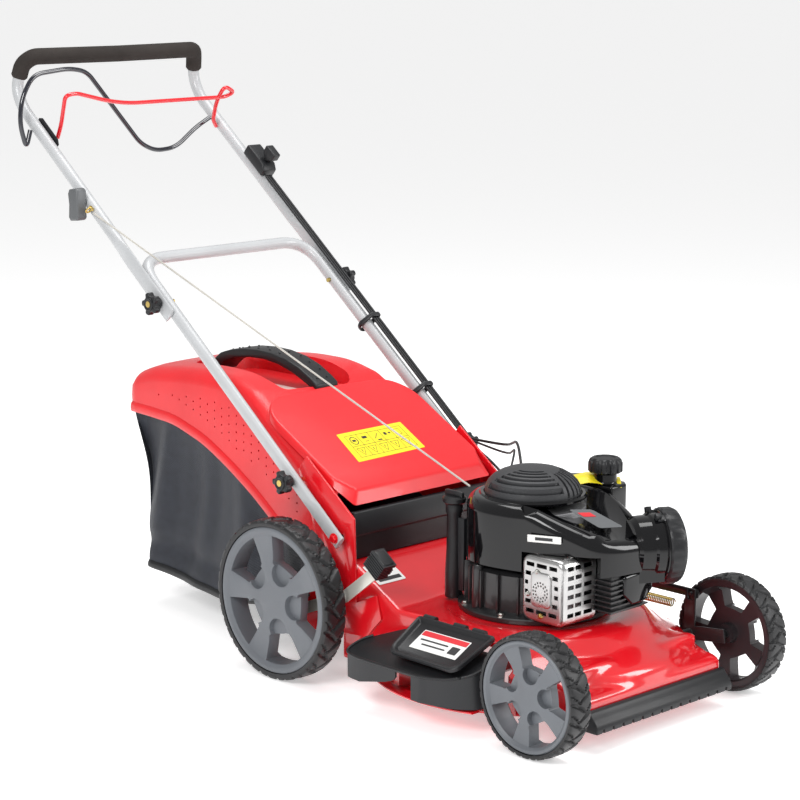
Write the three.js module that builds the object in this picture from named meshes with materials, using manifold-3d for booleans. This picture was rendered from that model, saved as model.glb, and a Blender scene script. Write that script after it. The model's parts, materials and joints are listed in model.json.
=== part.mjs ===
// Walk-behind rotary lawn mower with a rear grass catcher and a side discharge chute.
// Millimetres. Z is up, the mower travels towards -Y, and the operator's left hand is at +X.
import * as THREE from 'three';
import { mergeVertices } from 'three/addons/utils/BufferGeometryUtils.js';
import Module from 'manifold-3d';

const wasm = await Module();
wasm.setup();

// ---------------------------------------------------------------- driving dimensions
const GAP = 0.3;                    // gap between two pieces that touch on the real mower
const REAR_RADIUS = 140;            // rolling radius of a rear wheel
const FRONT_RADIUS = 100;           // rolling radius of a front wheel
const REAR_WIDTH = 48;              // tread width of a rear wheel
const FRONT_WIDTH = 46;             // tread width of a front wheel
const REAR_INNER = 232;             // mid-plane to the inner side of a rear wheel
const FRONT_INNER = 227;            // mid-plane to the inner side of a front wheel
const REAR_Y = 281;                 // rear axle behind the frame's reference line
const FRONT_Y = -298;               // front axle
const STUB_RADIUS = 7;              // stub axles the wheels turn on
const ROD_RADIUS = 8;               // cross rods of the two axles
const SPINDLE_Y = -72;              // engine crankshaft
const DECK_RADIUS = 262;            // blade housing, outside
const DECK_WALL = 3;
const DECK_BOTTOM = 40;             // rim of the blade housing above the ground
const DECK_TOP = 150;               // engine platform
const BLADE_LENGTH = 464;
const SHAFT_RADIUS = 12;            // crankshaft
const TUBE_RADIUS = 11;             // handle tube
const LEG_X = 205;                  // lower handle leg from the mid-plane
const HANDLE_ANGLE = 38.96;         // slope of the handle legs above the ground, degrees
const KNOB_AT = 565;                // folding knob along the leg from the lower bolt
const CROSSBAR_AT = 671;            // cross bar of the lower handle along the leg
const BOLT_Y = 197.7;               // lower bolt of the handle
const BOLT_Z = 252.2;
const BRACKET_X = 188;              // inner face of a handle bracket
const PLATE = 4;                    // thickness of brackets, arms and links

// ---------------------------------------------------------------- solid builders
function solid(points, faces) {
  const geometry = new THREE.BufferGeometry();
  geometry.setAttribute('position', new THREE.Float32BufferAttribute(points.flat(), 3));
  geometry.setIndex(faces.flat());
  return outward(geometry);
}

function outward(geometry) {
  const position = geometry.getAttribute('position');
  const index = geometry.getIndex().array;
  const a = new THREE.Vector3();
  const b = new THREE.Vector3();
  const c = new THREE.Vector3();
  let volume = 0;
  for (let i = 0; i < index.length; i += 3) {
    a.fromBufferAttribute(position, index[i]);
    b.fromBufferAttribute(position, index[i + 1]);
    c.fromBufferAttribute(position, index[i + 2]);
    volume += a.dot(b.cross(c));
  }
  if (volume < 0) {
    for (let i = 0; i < index.length; i += 3) {
      const swap = index[i];
      index[i] = index[i + 1];
      index[i + 1] = swap;
    }
  }
  return geometry;
}

// Skin through rings of equal point count, capped at both ends, or closed on itself.
function skin(rings, closed = false) {
  const n = rings[0].length;
  const faces = [];
  const last = closed ? rings.length : rings.length - 1;
  for (let i = 0; i < last; i += 1) {
    const j = (i + 1) % rings.length;
    for (let k = 0; k < n; k += 1) {
      const m = (k + 1) % n;
      faces.push([i * n + k, i * n + m, j * n + m]);
      faces.push([i * n + k, j * n + m, j * n + k]);
    }
  }
  if (!closed) {
    const end = (rings.length - 1) * n;
    for (const [p, q, r] of capFaces(rings[0])) faces.push([q, p, r]);
    for (const [p, q, r] of capFaces(rings[rings.length - 1])) faces.push([end + p, end + q, end + r]);
  }
  return solid(rings.flat(), faces);
}

function capFaces(ring) {
  const v = ring.map((p) => new THREE.Vector3(...p));
  const normal = new THREE.Vector3();
  for (let i = 1; i + 1 < v.length; i += 1) {
    normal.add(v[i].clone().sub(v[0]).cross(v[i + 1].clone().sub(v[0])));
  }
  normal.normalize();
  const across = v[1].clone().sub(v[0]).normalize();
  const up = normal.clone().cross(across);
  const flat = v.map((p) => new THREE.Vector2(p.dot(across), p.dot(up)));
  return THREE.ShapeUtils.triangulateShape(flat, []);
}

const prismX = (profile, x0, x1) => skin([x0, x1].map((x) => profile.map(([y, z]) => [x, y, z])));
const prismY = (profile, y0, y1) => skin([y0, y1].map((y) => profile.map(([x, z]) => [x, y, z])));
const prismZ = (profile, z0, z1) => skin([z0, z1].map((z) => profile.map(([x, y]) => [x, y, z])));

function box(x0, x1, y0, y1, z0, z1) {
  return prismZ([[x0, y0], [x1, y0], [x1, y1], [x0, y1]], z0, z1);
}

function circle(radius, count, phase = 0) {
  const points = [];
  for (let i = 0; i < count; i += 1) {
    const t = ((i + phase) / count) * 2 * Math.PI;
    points.push([radius * Math.cos(t), radius * Math.sin(t)]);
  }
  return points;
}

// Turned solid about a vertical axis from [radius, height] pairs, bottom to top.
function turnZ(x, y, pairs, count = 24) {
  return skin(pairs.map(([r, z]) => circle(r, count).map(([a, b]) => [x + a, y + b, z])));
}

// Turned solid about an axis along X from [radius, x] pairs.
function turnX(y, z, pairs, count = 24, phase = 0.5) {
  return skin(pairs.map(([r, x]) => circle(r, count, phase).map(([a, b]) => [x, y + a, z + b])));
}

const pinX = (y, z, r, x0, x1, count = 16) => turnX(y, z, [[r, x0], [r, x1]], count);

// Bar with a round or oval section along a list of [x, y, z] points. Half sizes may change
// along the way: side is the half size square to the X direction's plane, flat the other.
function bar(points, radius, count = 10, closed = false, sizes = null) {
  const p = points.map((q) => new THREE.Vector3(...q));
  const rings = [];
  let up = null;
  for (let i = 0; i < p.length; i += 1) {
    const before = closed ? p[(i + p.length - 1) % p.length] : p[Math.max(i - 1, 0)];
    const after = closed ? p[(i + 1) % p.length] : p[Math.min(i + 1, p.length - 1)];
    const along = after.clone().sub(before).normalize();
    if (up === null) {
      up = Math.abs(along.x) < 0.9 ? new THREE.Vector3(1, 0, 0) : new THREE.Vector3(0, 0, 1);
    }
    up.sub(along.clone().multiplyScalar(up.dot(along))).normalize();
    const side = along.clone().cross(up);
    const [ru, rs] = sizes ? sizes[i] : [radius, radius];
    rings.push(circle(1, count, 0.5).map(([a, b]) => {
      const q = p[i].clone().addScaledVector(up, a * ru).addScaledVector(side, b * rs);
      return [q.x, q.y, q.z];
    }));
  }
  return skin(rings, closed);
}

// Points of a polyline with its inner corners rounded.
function rounded(points, radius, steps = 5) {
  const v = points.map((q) => new THREE.Vector3(...q));
  const out = [points[0]];
  for (let i = 1; i + 1 < v.length; i += 1) {
    const a = v[i - 1].clone().sub(v[i]);
    const b = v[i + 1].clone().sub(v[i]);
    const reach = Math.min(radius, a.length() * 0.45, b.length() * 0.45);
    const start = v[i].clone().addScaledVector(a.normalize(), reach);
    const end = v[i].clone().addScaledVector(b.normalize(), reach);
    for (let s = 0; s <= steps; s += 1) {
      const t = s / steps;
      const q = start.clone().multiplyScalar((1 - t) ** 2);
      q.addScaledVector(v[i], 2 * t * (1 - t)).addScaledVector(end, t * t);
      out.push([q.x, q.y, q.z]);
    }
  }
  out.push(points[points.length - 1]);
  return out;
}

function toManifold(geometry) {
  const clean = geometry.clone();
  clean.deleteAttribute('normal');
  clean.deleteAttribute('uv');
  const merged = mergeVertices(clean, 1e-4);
  return new wasm.Manifold(new wasm.Mesh({
    numProp: 3,
    vertProperties: new Float32Array(merged.getAttribute('position').array),
    triVerts: new Uint32Array(merged.getIndex().array),
  }));
}

function fromManifold(manifold) {
  const mesh = manifold.getMesh();
  const geometry = new THREE.BufferGeometry();
  geometry.setAttribute('position', new THREE.Float32BufferAttribute(mesh.vertProperties, 3));
  geometry.setIndex(Array.from(mesh.triVerts));
  return geometry;
}

function cut(body, ...tools) {
  let result = toManifold(body);
  for (const tool of tools) result = result.subtract(toManifold(tool));
  return fromManifold(result);
}

function join(body, ...others) {
  let result = toManifold(body);
  for (const other of others) result = result.add(toManifold(other));
  return fromManifold(result);
}

// ---------------------------------------------------------------- materials
const finish = (color, roughness, metalness) => () =>
  new THREE.MeshStandardMaterial({ color, roughness, metalness, flatShading: true });
const redPaint = finish(0xd3121b, 0.25, 0.1);
const redPlastic = finish(0xd0141c, 0.4, 0.0);
const greyPaint = finish(0xb9bcc0, 0.4, 0.2);
const greyPlastic = finish(0x7b828a, 0.55, 0.0);
const blackPlastic = finish(0x1c1d20, 0.6, 0.0);
const glossBlack = finish(0x0c0c0e, 0.2, 0.1);
const blackPaint = finish(0x151517, 0.4, 0.4);
const tyreRubber = finish(0x161616, 0.85, 0.0);
const foam = finish(0x37322f, 0.95, 0.0);
const mesh = finish(0x222428, 0.95, 0.0);
const steel = finish(0xa9abad, 0.35, 0.9);
const aluminium = finish(0x9b9da0, 0.5, 0.8);
const brass = finish(0xb08d3a, 0.35, 0.9);
const rope = finish(0xf2f2ee, 0.9, 0.0);
const greyFlap = finish(0xc9a9a4, 0.4, 0.0);

const assembly = new THREE.Group();
assembly.name = 'lawn_mower';

function add(name, geometry, material) {
  const flat = geometry.index ? geometry.toNonIndexed() : geometry;
  flat.computeVertexNormals();
  const piece = new THREE.Mesh(flat, material());
  piece.name = name;
  assembly.add(piece);
}

// ---------------------------------------------------------------- linkage geometry
const ROD_Y = REAR_Y + 73;                            // rear cross rod
const ROD_Z = REAR_RADIUS - 58;
const LINK_Z = DECK_TOP + 11;                         // link bar between the two axles
const FRONT_ROD_Y = FRONT_Y + 63.6;                   // front cross rod
const FRONT_ROD_Z = FRONT_RADIUS - 8;
const TAB_X = 214;                                    // tabs that the link bar joins
const LINK_X = TAB_X + PLATE + 1;
const PIN_RADIUS = 3;

// ---------------------------------------------------------------- handle geometry
const SLOPE = THREE.MathUtils.degToRad(HANDLE_ANGLE);
const UPPER_X = LEG_X + TUBE_RADIUS + 2;              // upper leg from the mid-plane
const FLAT_HALF = 4;                                  // half thickness of a pressed tube end
const FLAT_X = LEG_X + TUBE_RADIUS + FLAT_HALF + 0.5; // centre of the pressed end
const along = (distance, lift = 0) => [
  BOLT_Y + distance * Math.cos(SLOPE) - lift * Math.sin(SLOPE),
  BOLT_Z + distance * Math.sin(SLOPE) + lift * Math.cos(SLOPE),
];

function mirrorPath(half) {
  const other = half.map(([x, y, z]) => [-x, y, z]).reverse();
  return half.concat(other);
}

// ================================================================ blade housing
function housing(radius, platform, bottom, top, wall) {
  const r = radius - wall;
  const pairs = [[r, bottom], [r, top - 58], [r - 22, top - 46], [r - 47, top - 30]];
  pairs.push([platform + 15 - wall, top - 9], [platform - wall, top - 1], [platform - 18 - wall, top]);
  return turnZ(0, SPINDLE_Y, pairs, 40);
}

function noseProfile(inset) {
  const front = SPINDLE_Y - DECK_RADIUS - 2 + inset;
  const bottom = inset > 0 ? DECK_BOTTOM - 20 : DECK_BOTTOM + 4;
  return [
    [front, bottom], [front, DECK_TOP - 74 - inset], [front + 8, DECK_TOP - 68 - inset],
    [front + 62, DECK_TOP - 51 - inset], [front + 126, DECK_TOP - 29 - inset],
    [front + 172, DECK_TOP - 8 - inset], [front + 236, DECK_TOP - 1 - inset], [front + 236, bottom],
  ];
}

const TUNNEL_END = REAR_Y - 81;
const TUNNEL_TOP = 211;
function tunnelProfile(inset) {
  const bottom = inset > 0 ? DECK_BOTTOM - 20 : DECK_BOTTOM + 4;
  const end = inset > 0 ? TUNNEL_END + 20 : TUNNEL_END;
  return [
    [-60, bottom], [-60, DECK_TOP - inset], [70, DECK_TOP - inset], [TUNNEL_END - 20, TUNNEL_TOP - inset],
    [end, TUNNEL_TOP - inset], [end, bottom],
  ];
}

// Space beside the housing that a front wheel and its crank need over the whole height range.
function wheelWells(grow) {
  const wells = [];
  for (const lift of [-25, 25]) {
    for (const s of [-1, 1]) {
      const [x0, x1] = [s * (TAB_X - 1.5 - grow), s * (DECK_RADIUS + 40)].sort((a, b) => a - b);
      wells.push(pinX(FRONT_Y + 6, FRONT_RADIUS + lift, FRONT_RADIUS + 14 + grow, x0, x1, 24));
    }
  }
  return wells;
}

const NOSE_HALF = 172;
const NOSE_FRONT = SPINDLE_Y - DECK_RADIUS - 2;
const PORT_X = LEG_X - 2;            // outer edge of the side port
const PORT_FRONT = -208;
const PORT_BACK = -2;
function deckShell() {
  const rim = turnZ(0, SPINDLE_Y, [[DECK_RADIUS + 17, DECK_BOTTOM], [DECK_RADIUS + 17, DECK_BOTTOM + 3]], 40);
  const outer = join(
    housing(DECK_RADIUS, 178, DECK_BOTTOM, DECK_TOP, 0), rim,
    prismX(noseProfile(0), -NOSE_HALF, NOSE_HALF),
    prismX(tunnelProfile(0), -BRACKET_X + 0.5, BRACKET_X - 0.5),
    box(-PORT_X, -120, PORT_FRONT, PORT_BACK, DECK_BOTTOM + 4, DECK_TOP),
  );
  const inner = join(
    housing(DECK_RADIUS, 178, DECK_BOTTOM - 20, DECK_TOP - DECK_WALL, DECK_WALL),
    prismX(noseProfile(DECK_WALL), DECK_WALL - NOSE_HALF, NOSE_HALF - DECK_WALL),
    prismX(tunnelProfile(DECK_WALL), DECK_WALL - BRACKET_X, BRACKET_X - DECK_WALL),
    box(-PORT_X - 20, -110, PORT_FRONT + DECK_WALL, PORT_BACK - DECK_WALL, DECK_BOTTOM + 3.1, DECK_TOP - DECK_WALL),
  );
  const side = box(-DECK_RADIUS - 30, -PORT_X - 0.1, PORT_FRONT, PORT_BACK, DECK_BOTTOM + 3.1, DECK_TOP + 30);
  const shaftHole = turnZ(0, SPINDLE_Y, [[50, DECK_TOP - 20], [50, DECK_TOP + 20]], 32);
  const rodBore = pinX(FRONT_ROD_Y, FRONT_ROD_Z, ROD_RADIUS + 0.6, -NOSE_HALF - 80, NOSE_HALF + 80);
  const nose = box(-DECK_RADIUS, DECK_RADIUS, NOSE_FRONT - 60, NOSE_FRONT, 0, DECK_TOP);
  return cut(outer, cut(inner, ...wheelWells(DECK_WALL)), side, shaftHole, rodBore, nose, ...wheelWells(0));
}
add('deck_shell', deckShell(), redPaint);

function frontBumper() {
  const y = NOSE_FRONT - GAP;
  return prismX([[y, 30], [y, 62], [y - 9, 60], [y - 25, 38], [y - 25, 30]], -NOSE_HALF, NOSE_HALF);
}
add('front_bumper', frontBumper(), blackPlastic);

function rearBulkhead() {
  const y = TUNNEL_END - 16;
  const z = TUNNEL_TOP + GAP;
  return prismX([[y, z], [y + 2, z + 40], [y - 3, z + 42], [y, z + 82], [y + 12, z + 82], [y + 14, z]], -175, 175);
}
add('rear_bulkhead', rearBulkhead(), blackPlastic);

function bracket(side, quadrant) {
  const profile = [
    [BOLT_Y - 36, BOLT_Z - 108], [BOLT_Y - 30, BOLT_Z + 36], [BOLT_Y + 88, BOLT_Z + 126], [BOLT_Y + 108, BOLT_Z + 100],
    [BOLT_Y + 64, BOLT_Z - 6], [ROD_Y - 60, ROD_Z + 60], [ROD_Y + 20, ROD_Z + 26], [ROD_Y + 20, ROD_Z - 18],
    [ROD_Y - 22, ROD_Z - 18], [BOLT_Y + 20, ROD_Z],
  ];
  if (quadrant) profile.push([BOLT_Y - 60, ROD_Z + 6], [BOLT_Y - 96, ROD_Z + 44], [BOLT_Y - 84, ROD_Z + 84]);
  const x0 = side > 0 ? BRACKET_X : -BRACKET_X - PLATE;
  return cut(
    prismX(profile, x0, x0 + PLATE),
    pinX(ROD_Y, ROD_Z, ROD_RADIUS + GAP, x0 - 5, x0 + PLATE + 5),
    pinX(BOLT_Y, BOLT_Z, 5, x0 - 5, x0 + PLATE + 5),
  );
}
add('bracket_right', bracket(-1, true), redPaint);
add('bracket_left', bracket(1, false), redPaint);

// ================================================================ engine
const GUARD = { x0: -104, x1: -34, y0: -224, y1: -134, z0: DECK_TOP + 12, z1: DECK_TOP + 114 };
const guardBox = (grow) => box(GUARD.x0 - grow, GUARD.x1 + grow, GUARD.y0 - grow, GUARD.y1 + grow,
  GUARD.z0 - grow, GUARD.z1 + grow);
const FILTER = { x: 118, y: -261, z: 268, turn: -30, radius: 64 };

// A solid laid out along its own +X axis, turned about Z and moved onto the filter's axis.
function onFilter(geometry) {
  const placed = geometry.clone();
  placed.rotateZ(THREE.MathUtils.degToRad(FILTER.turn));
  placed.translate(FILTER.x, FILTER.y, FILTER.z);
  return placed;
}

const filterBase = (grow) => onFilter(box(-66 - grow, -18 + grow, -44 - grow, 44 + grow, -50 - grow, 46 + grow));

function engineBlock() {
  const crankcase = turnZ(0, SPINDLE_Y, [
    [128, DECK_TOP + GAP], [128, DECK_TOP + 10], [116, DECK_TOP + 14], [112, DECK_TOP + 74],
    [96, DECK_TOP + 86], [40, DECK_TOP + 88], [38, DECK_TOP + 128],
  ], 28);
  const head = box(-46, 62, -256, -120, DECK_TOP + 24, DECK_TOP + 88);
  return cut(
    join(crankcase, head), guardBox(1), filterBase(1),
    turnZ(0, SPINDLE_Y, [[SHAFT_RADIUS + 0.5, DECK_TOP - 5], [SHAFT_RADIUS + 0.5, DECK_TOP + 140]], 24),
  );
}
add('engine_block', engineBlock(), blackPaint);

const COWL_BOTTOM = DECK_TOP + 88 + GAP;
const COWL_TOP = DECK_TOP + 195;
function cowlRing(scale, heightAt) {
  const plan = [
    [-115, -72], [-111, -30], [-92, 0], [-58, 28], [-18, 42], [30, 42], [72, 22], [100, -14], [114, -60],
    [112, -140], [100, -205], [80, -262], [33, -268], [-38, -252], [-66, -215], [-100, -140],
  ];
  return plan.map(([x, y]) => {
    const px = x * scale;
    const py = SPINDLE_Y + (y - SPINDLE_Y) * scale;
    return [px, py, heightAt(py)];
  });
}

function engineCowl() {
  const sloped = (drop) => (y) => COWL_TOP - drop - Math.max(0, SPINDLE_Y - 70 - y) * 0.42;
  const body = skin([
    cowlRing(1, () => COWL_BOTTOM), cowlRing(1, sloped(22)), cowlRing(0.97, sloped(8)), cowlRing(0.9, sloped(0)),
  ]);
  return cut(
    body, guardBox(1), filterBase(1),
    turnZ(0, SPINDLE_Y, [[92, COWL_BOTTOM - 5], [92, COWL_TOP - 6], [86, COWL_TOP - 5], [86, COWL_TOP + 5]], 28),
  );
}
add('engine_cowl', engineCowl(), glossBlack);

function fanGrille() {
  const z = COWL_TOP + GAP;
  const outer = turnZ(0, SPINDLE_Y, [[96, z], [96, z + 6], [88, z + 22], [66, z + 37], [34, z + 44], [8, z + 45]], 28);
  const inner = turnZ(0, SPINDLE_Y, [[91, z - 5], [91, z + 4], [84, z + 18], [63, z + 33], [32, z + 40], [8, z + 41]], 28);
  return cut(outer, inner);
}
add('fan_grille', fanGrille(), blackPlastic);

function mufflerGuard() {
  const core = box(GUARD.x0 + 3, GUARD.x1 + 5, GUARD.y0 + 3, GUARD.y1 - 3, GUARD.z0 + 3, GUARD.z1 - 3);
  return cut(guardBox(0), core);
}
add('muffler_guard', mufflerGuard(), steel);

const TANK = { x0: 118, x1: 172, y0: -136, y1: -4, z0: DECK_TOP + 112, z1: DECK_TOP + 195 };
const CAP_X = 139;
const CAP_Y = -104;
function fuelTank() {
  const plan = [
    [TANK.x0, TANK.y0], [TANK.x1 - 14, TANK.y0], [TANK.x1, TANK.y0 + 14], [TANK.x1, TANK.y1 - 24],
    [TANK.x1 - 24, TANK.y1], [TANK.x0, TANK.y1],
  ];
  return join(
    prismZ(plan, TANK.z0, TANK.z1),
    turnZ(CAP_X, CAP_Y, [[20, TANK.z1 - 10], [20, TANK.z1 + 20]], 20),
  );
}
add('fuel_tank', fuelTank(), glossBlack);

function fuelCap() {
  const z = TANK.z1 + 20 + GAP;
  return turnZ(CAP_X, CAP_Y, [[25, z], [25, z + 18], [21, z + 24]], 24);
}
add('fuel_cap', fuelCap(), blackPlastic);

add('air_filter_base', filterBase(0), glossBlack);
function filterCover() {
  const pairs = [[FILTER.radius - 4, -17], [FILTER.radius, -12], [FILTER.radius, 8], [FILTER.radius - 8, 15]];
  return onFilter(skin(pairs.map(([r, x]) => circle(r, 32).map(([a, b]) => [x, a, b]))));
}
add('air_filter_cover', filterCover(), blackPlastic);

const DIP_X = -74;
const DIP_Y = 46;
function dipstickTube() {
  const z = DECK_TOP + 168;
  return turnZ(DIP_X, DIP_Y, [[13, DECK_TOP + 16], [10, DECK_TOP + 30], [10, z - 20], [13, z - 14], [13, z]], 12);
}
add('dipstick_tube', dipstickTube(), blackPlastic);
function dipstickCap() {
  const z = DECK_TOP + 168 + GAP;
  return turnZ(DIP_X, DIP_Y, [[18, z], [20, z + 4], [20, z + 16], [14, z + 22]], 16);
}
add('dipstick_cap', dipstickCap(), blackPlastic);

// ================================================================ crankshaft, flywheel and blade
const BLADE_Z = DECK_BOTTOM + 20;
const BLADE_THICK = 4;
const HUB_Z = BLADE_Z + BLADE_THICK + GAP;
const SHAFT_FOOT = HUB_Z + 10;
const BOLT_RADIUS = 5;
add('crankshaft', turnZ(0, SPINDLE_Y, [[SHAFT_RADIUS, SHAFT_FOOT], [SHAFT_RADIUS, COWL_TOP - 6]], 24), steel);
add('flywheel', cut(
  turnZ(0, SPINDLE_Y, [[70, COWL_TOP - 62], [84, COWL_TOP - 50], [84, COWL_TOP - 20], [60, COWL_TOP - 16]], 32),
  turnZ(0, SPINDLE_Y, [[SHAFT_RADIUS + GAP, COWL_TOP - 70], [SHAFT_RADIUS + GAP, COWL_TOP]], 24),
), aluminium);
add('blade_adapter', cut(
  turnZ(0, SPINDLE_Y, [[30, HUB_Z], [30, HUB_Z + 8], [20, HUB_Z + 10], [20, HUB_Z + 18], [38, HUB_Z + 22], [38, HUB_Z + 34]]),
  turnZ(0, SPINDLE_Y, [[SHAFT_RADIUS + GAP, SHAFT_FOOT - GAP], [SHAFT_RADIUS + GAP, HUB_Z + 60]], 24),
  turnZ(0, SPINDLE_Y, [[BOLT_RADIUS + GAP, HUB_Z - 10], [BOLT_RADIUS + GAP, SHAFT_FOOT + 5]], 16),
), aluminium);

function blade() {
  const half = BLADE_LENGTH / 2;
  const tip = Math.sqrt(half * half - 28 * 28);
  const plan = [[-tip, -28], [tip, -28], [tip, 28], [-tip, 28]];
  const plate = prismZ(plan.map(([x, y]) => [x, SPINDLE_Y + y]), BLADE_Z, BLADE_Z + BLADE_THICK);
  return cut(plate, turnZ(0, SPINDLE_Y, [[BOLT_RADIUS + GAP, BLADE_Z - 5], [BOLT_RADIUS + GAP, BLADE_Z + 9]], 16));
}
add('blade', blade(), steel);
add('blade_bolt', turnZ(0, SPINDLE_Y, [
  [14, BLADE_Z - 9], [14, BLADE_Z - GAP], [BOLT_RADIUS, BLADE_Z - GAP], [BOLT_RADIUS, SHAFT_FOOT - 2],
], 12), steel);

// ================================================================ axles, link and height lever
// Flat bar in a plane of constant x between two points, with square ends.
function strap(x0, x1, from, to, half, extra = 0) {
  const dy = to[0] - from[0];
  const dz = to[1] - from[1];
  const length = Math.hypot(dy, dz);
  const u = [dy / length, dz / length];
  const v = [-u[1], u[0]];
  const corner = (p, s, t) => [p[0] + u[0] * s + v[0] * t, p[1] + u[1] * s + v[1] * t];
  return prismX([corner(from, -extra, -half), corner(to, extra, -half), corner(to, extra, half), corner(from, -extra, half)], x0, x1);
}

function axle(rodY, rodZ, wheelY, wheelZ, inner, width, nearEnd, armX, armThick) {
  const rod = pinX(rodY, rodZ, ROD_RADIUS, -nearEnd, TAB_X + PLATE);
  const parts = [];
  for (const s of [-1, 1]) {
    const arm = [s * armX, s * (armX + armThick)].sort((a, b) => a - b);
    const stub = [s * (armX + 2), s * (inner + width - 4)].sort((a, b) => a - b);
    parts.push(strap(arm[0], arm[1], [rodY, rodZ], [wheelY, wheelZ], 12, 11));
    parts.push(pinX(wheelY, wheelZ, STUB_RADIUS, stub[0], stub[1]));
  }
  const fork = strap(TAB_X, TAB_X + PLATE, [rodY, rodZ], [rodY, LINK_Z + 9], 11);
  const slot = box(TAB_X - 5, TAB_X + PLATE + 5, rodY - PIN_RADIUS - 2.4, rodY + PIN_RADIUS + 2.4, LINK_Z - 10, LINK_Z + 20);
  return join(rod, ...parts, cut(fork, slot));
}

const LEVER_X = -222;
add('rear_axle', axle(ROD_Y, ROD_Z, REAR_Y, REAR_RADIUS, REAR_INNER, REAR_WIDTH, -LEVER_X, 202, 8), blackPaint);
add('front_axle', axle(FRONT_ROD_Y, FRONT_ROD_Z, FRONT_Y, FRONT_RADIUS, FRONT_INNER, FRONT_WIDTH, TAB_X + 2, TAB_X, PLATE), blackPaint);

// The bar rises over the rear stub axle, which comes up to it at the highest cut.
function linkRod() {
  const line = [
    [FRONT_ROD_Y - 12, LINK_Z], [REAR_Y - 39, LINK_Z], [REAR_Y - 27, LINK_Z + 21], [REAR_Y + 28, LINK_Z + 21],
    [REAR_Y + 40, LINK_Z], [ROD_Y + 12, LINK_Z],
  ];
  const edge = (lift) => line.map(([y, z]) => [y, z + lift]);
  const flat = prismX(edge(-7).concat(edge(7).reverse()), LINK_X, LINK_X + PLATE);
  const pins = [FRONT_ROD_Y, ROD_Y].map((y) => pinX(y, LINK_Z, PIN_RADIUS, TAB_X - 1, LINK_X + 1, 12));
  return join(flat, ...pins);
}
add('link_rod', linkRod(), blackPaint);

const GRIP_AT = [74, 234];
const LEVER_BEND = [REAR_Y - 121, REAR_RADIUS + 20];
function heightLever() {
  const eye = pinX(ROD_Y, ROD_Z, 16, LEVER_X, LEVER_X + PLATE, 16);
  const arm = strap(LEVER_X, LEVER_X + PLATE, [ROD_Y, ROD_Z], LEVER_BEND, 10, 4);
  const neck = strap(LEVER_X, LEVER_X + PLATE, LEVER_BEND, [GRIP_AT[0] + 16, GRIP_AT[1] - 20], 10);
  return cut(join(eye, arm, neck), pinX(ROD_Y, ROD_Z, ROD_RADIUS + GAP, LEVER_X - 5, LEVER_X + PLATE + 5));
}
add('height_lever', heightLever(), greyPaint);

function leverGrip() {
  const [y, z] = GRIP_AT;
  return strap(LEVER_X - 14, LEVER_X + 16, [y + 13.6, z - 16.6], [y - 10, z + 14], 20);
}
add('lever_grip', leverGrip(), blackPlastic);

function gearbox() {
  const y = ROD_Y - ROD_RADIUS - 1;
  return prismX([[y, ROD_Z - 24], [y, ROD_Z - 2], [y - 30, ROD_Z - 4], [y - 42, ROD_Z - 10], [y - 42, ROD_Z - 24]], -42, 42);
}
add('gearbox', gearbox(), aluminium);

function liftSpring() {
  const z = LINK_Z - 14;
  return bar([[TAB_X - 9, FRONT_ROD_Y + 14, z - 4], [TAB_X - 9, FRONT_ROD_Y + 104, z + 3]], 5, 8);
}
add('lift_spring', liftSpring(), brass);

// ================================================================ wheels
function wheelRim(y, z, radius, inner, width, side) {
  const rimRadius = radius * 0.9;
  const shape = circle(rimRadius, 32, 0.5);
  const x0 = inner + 3;
  const x1 = inner + width - 3;
  const disc = prismX(shape.map(([a, b]) => [y + a, z + b]), side > 0 ? x0 : -x1, side > 0 ? x1 : -x0);
  const tools = [pinX(y, z, STUB_RADIUS + GAP, -400, 400)];
  for (let i = 0; i < 5; i += 1) {
    const mid = (i / 5) * 2 * Math.PI;
    const window = [];
    for (const [r, half] of [[0.32, 0.18], [0.84, 0.46], [0.84, 0.15], [0.84, -0.15], [0.84, -0.46], [0.32, -0.18]]) {
      window.push([y + rimRadius * r * Math.sin(mid + half), z + rimRadius * r * Math.cos(mid + half)]);
    }
    tools.push(prismX(window, -400, 400));
  }
  const mouth = [rimRadius * 0.84, side * (inner - 1)];
  const floor = [rimRadius * 0.8, side * (inner + width * 0.34)];
  return cut(disc, ...tools, turnX(y, z, side > 0 ? [mouth, floor] : [floor, mouth], 32));
}

function tyre(y, z, radius, inner, width, side) {
  const count = 32;
  const flat = radius / Math.cos(Math.PI / count);
  const bore = radius * 0.9 / Math.cos(Math.PI / count) + GAP;
  const section = [
    [bore, 2], [flat - 5, 0], [flat, 5], [flat, width - 5], [flat - 5, width], [bore, width - 2],
  ];
  const rings = [];
  for (let i = 0; i < count; i += 1) {
    const t = ((i + 0.5) / count) * 2 * Math.PI;
    rings.push(section.map(([r, x]) => [side * (inner + x), y + r * Math.sin(t), z + r * Math.cos(t)]));
  }
  return skin(rings, true);
}

const WHEELS = [
  ['rear', REAR_Y, REAR_RADIUS, REAR_INNER, REAR_WIDTH],
  ['front', FRONT_Y, FRONT_RADIUS, FRONT_INNER, FRONT_WIDTH],
];
for (const [end, y, radius, inner, width] of WHEELS) {
  for (const [hand, side] of [['right', -1], ['left', 1]]) {
    add(`${end}_rim_${hand}`, wheelRim(y, radius, radius, inner, width, side), greyPlastic);
    add(`${end}_tyre_${hand}`, tyre(y, radius, radius, inner, width, side), tyreRubber);
  }
}

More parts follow.
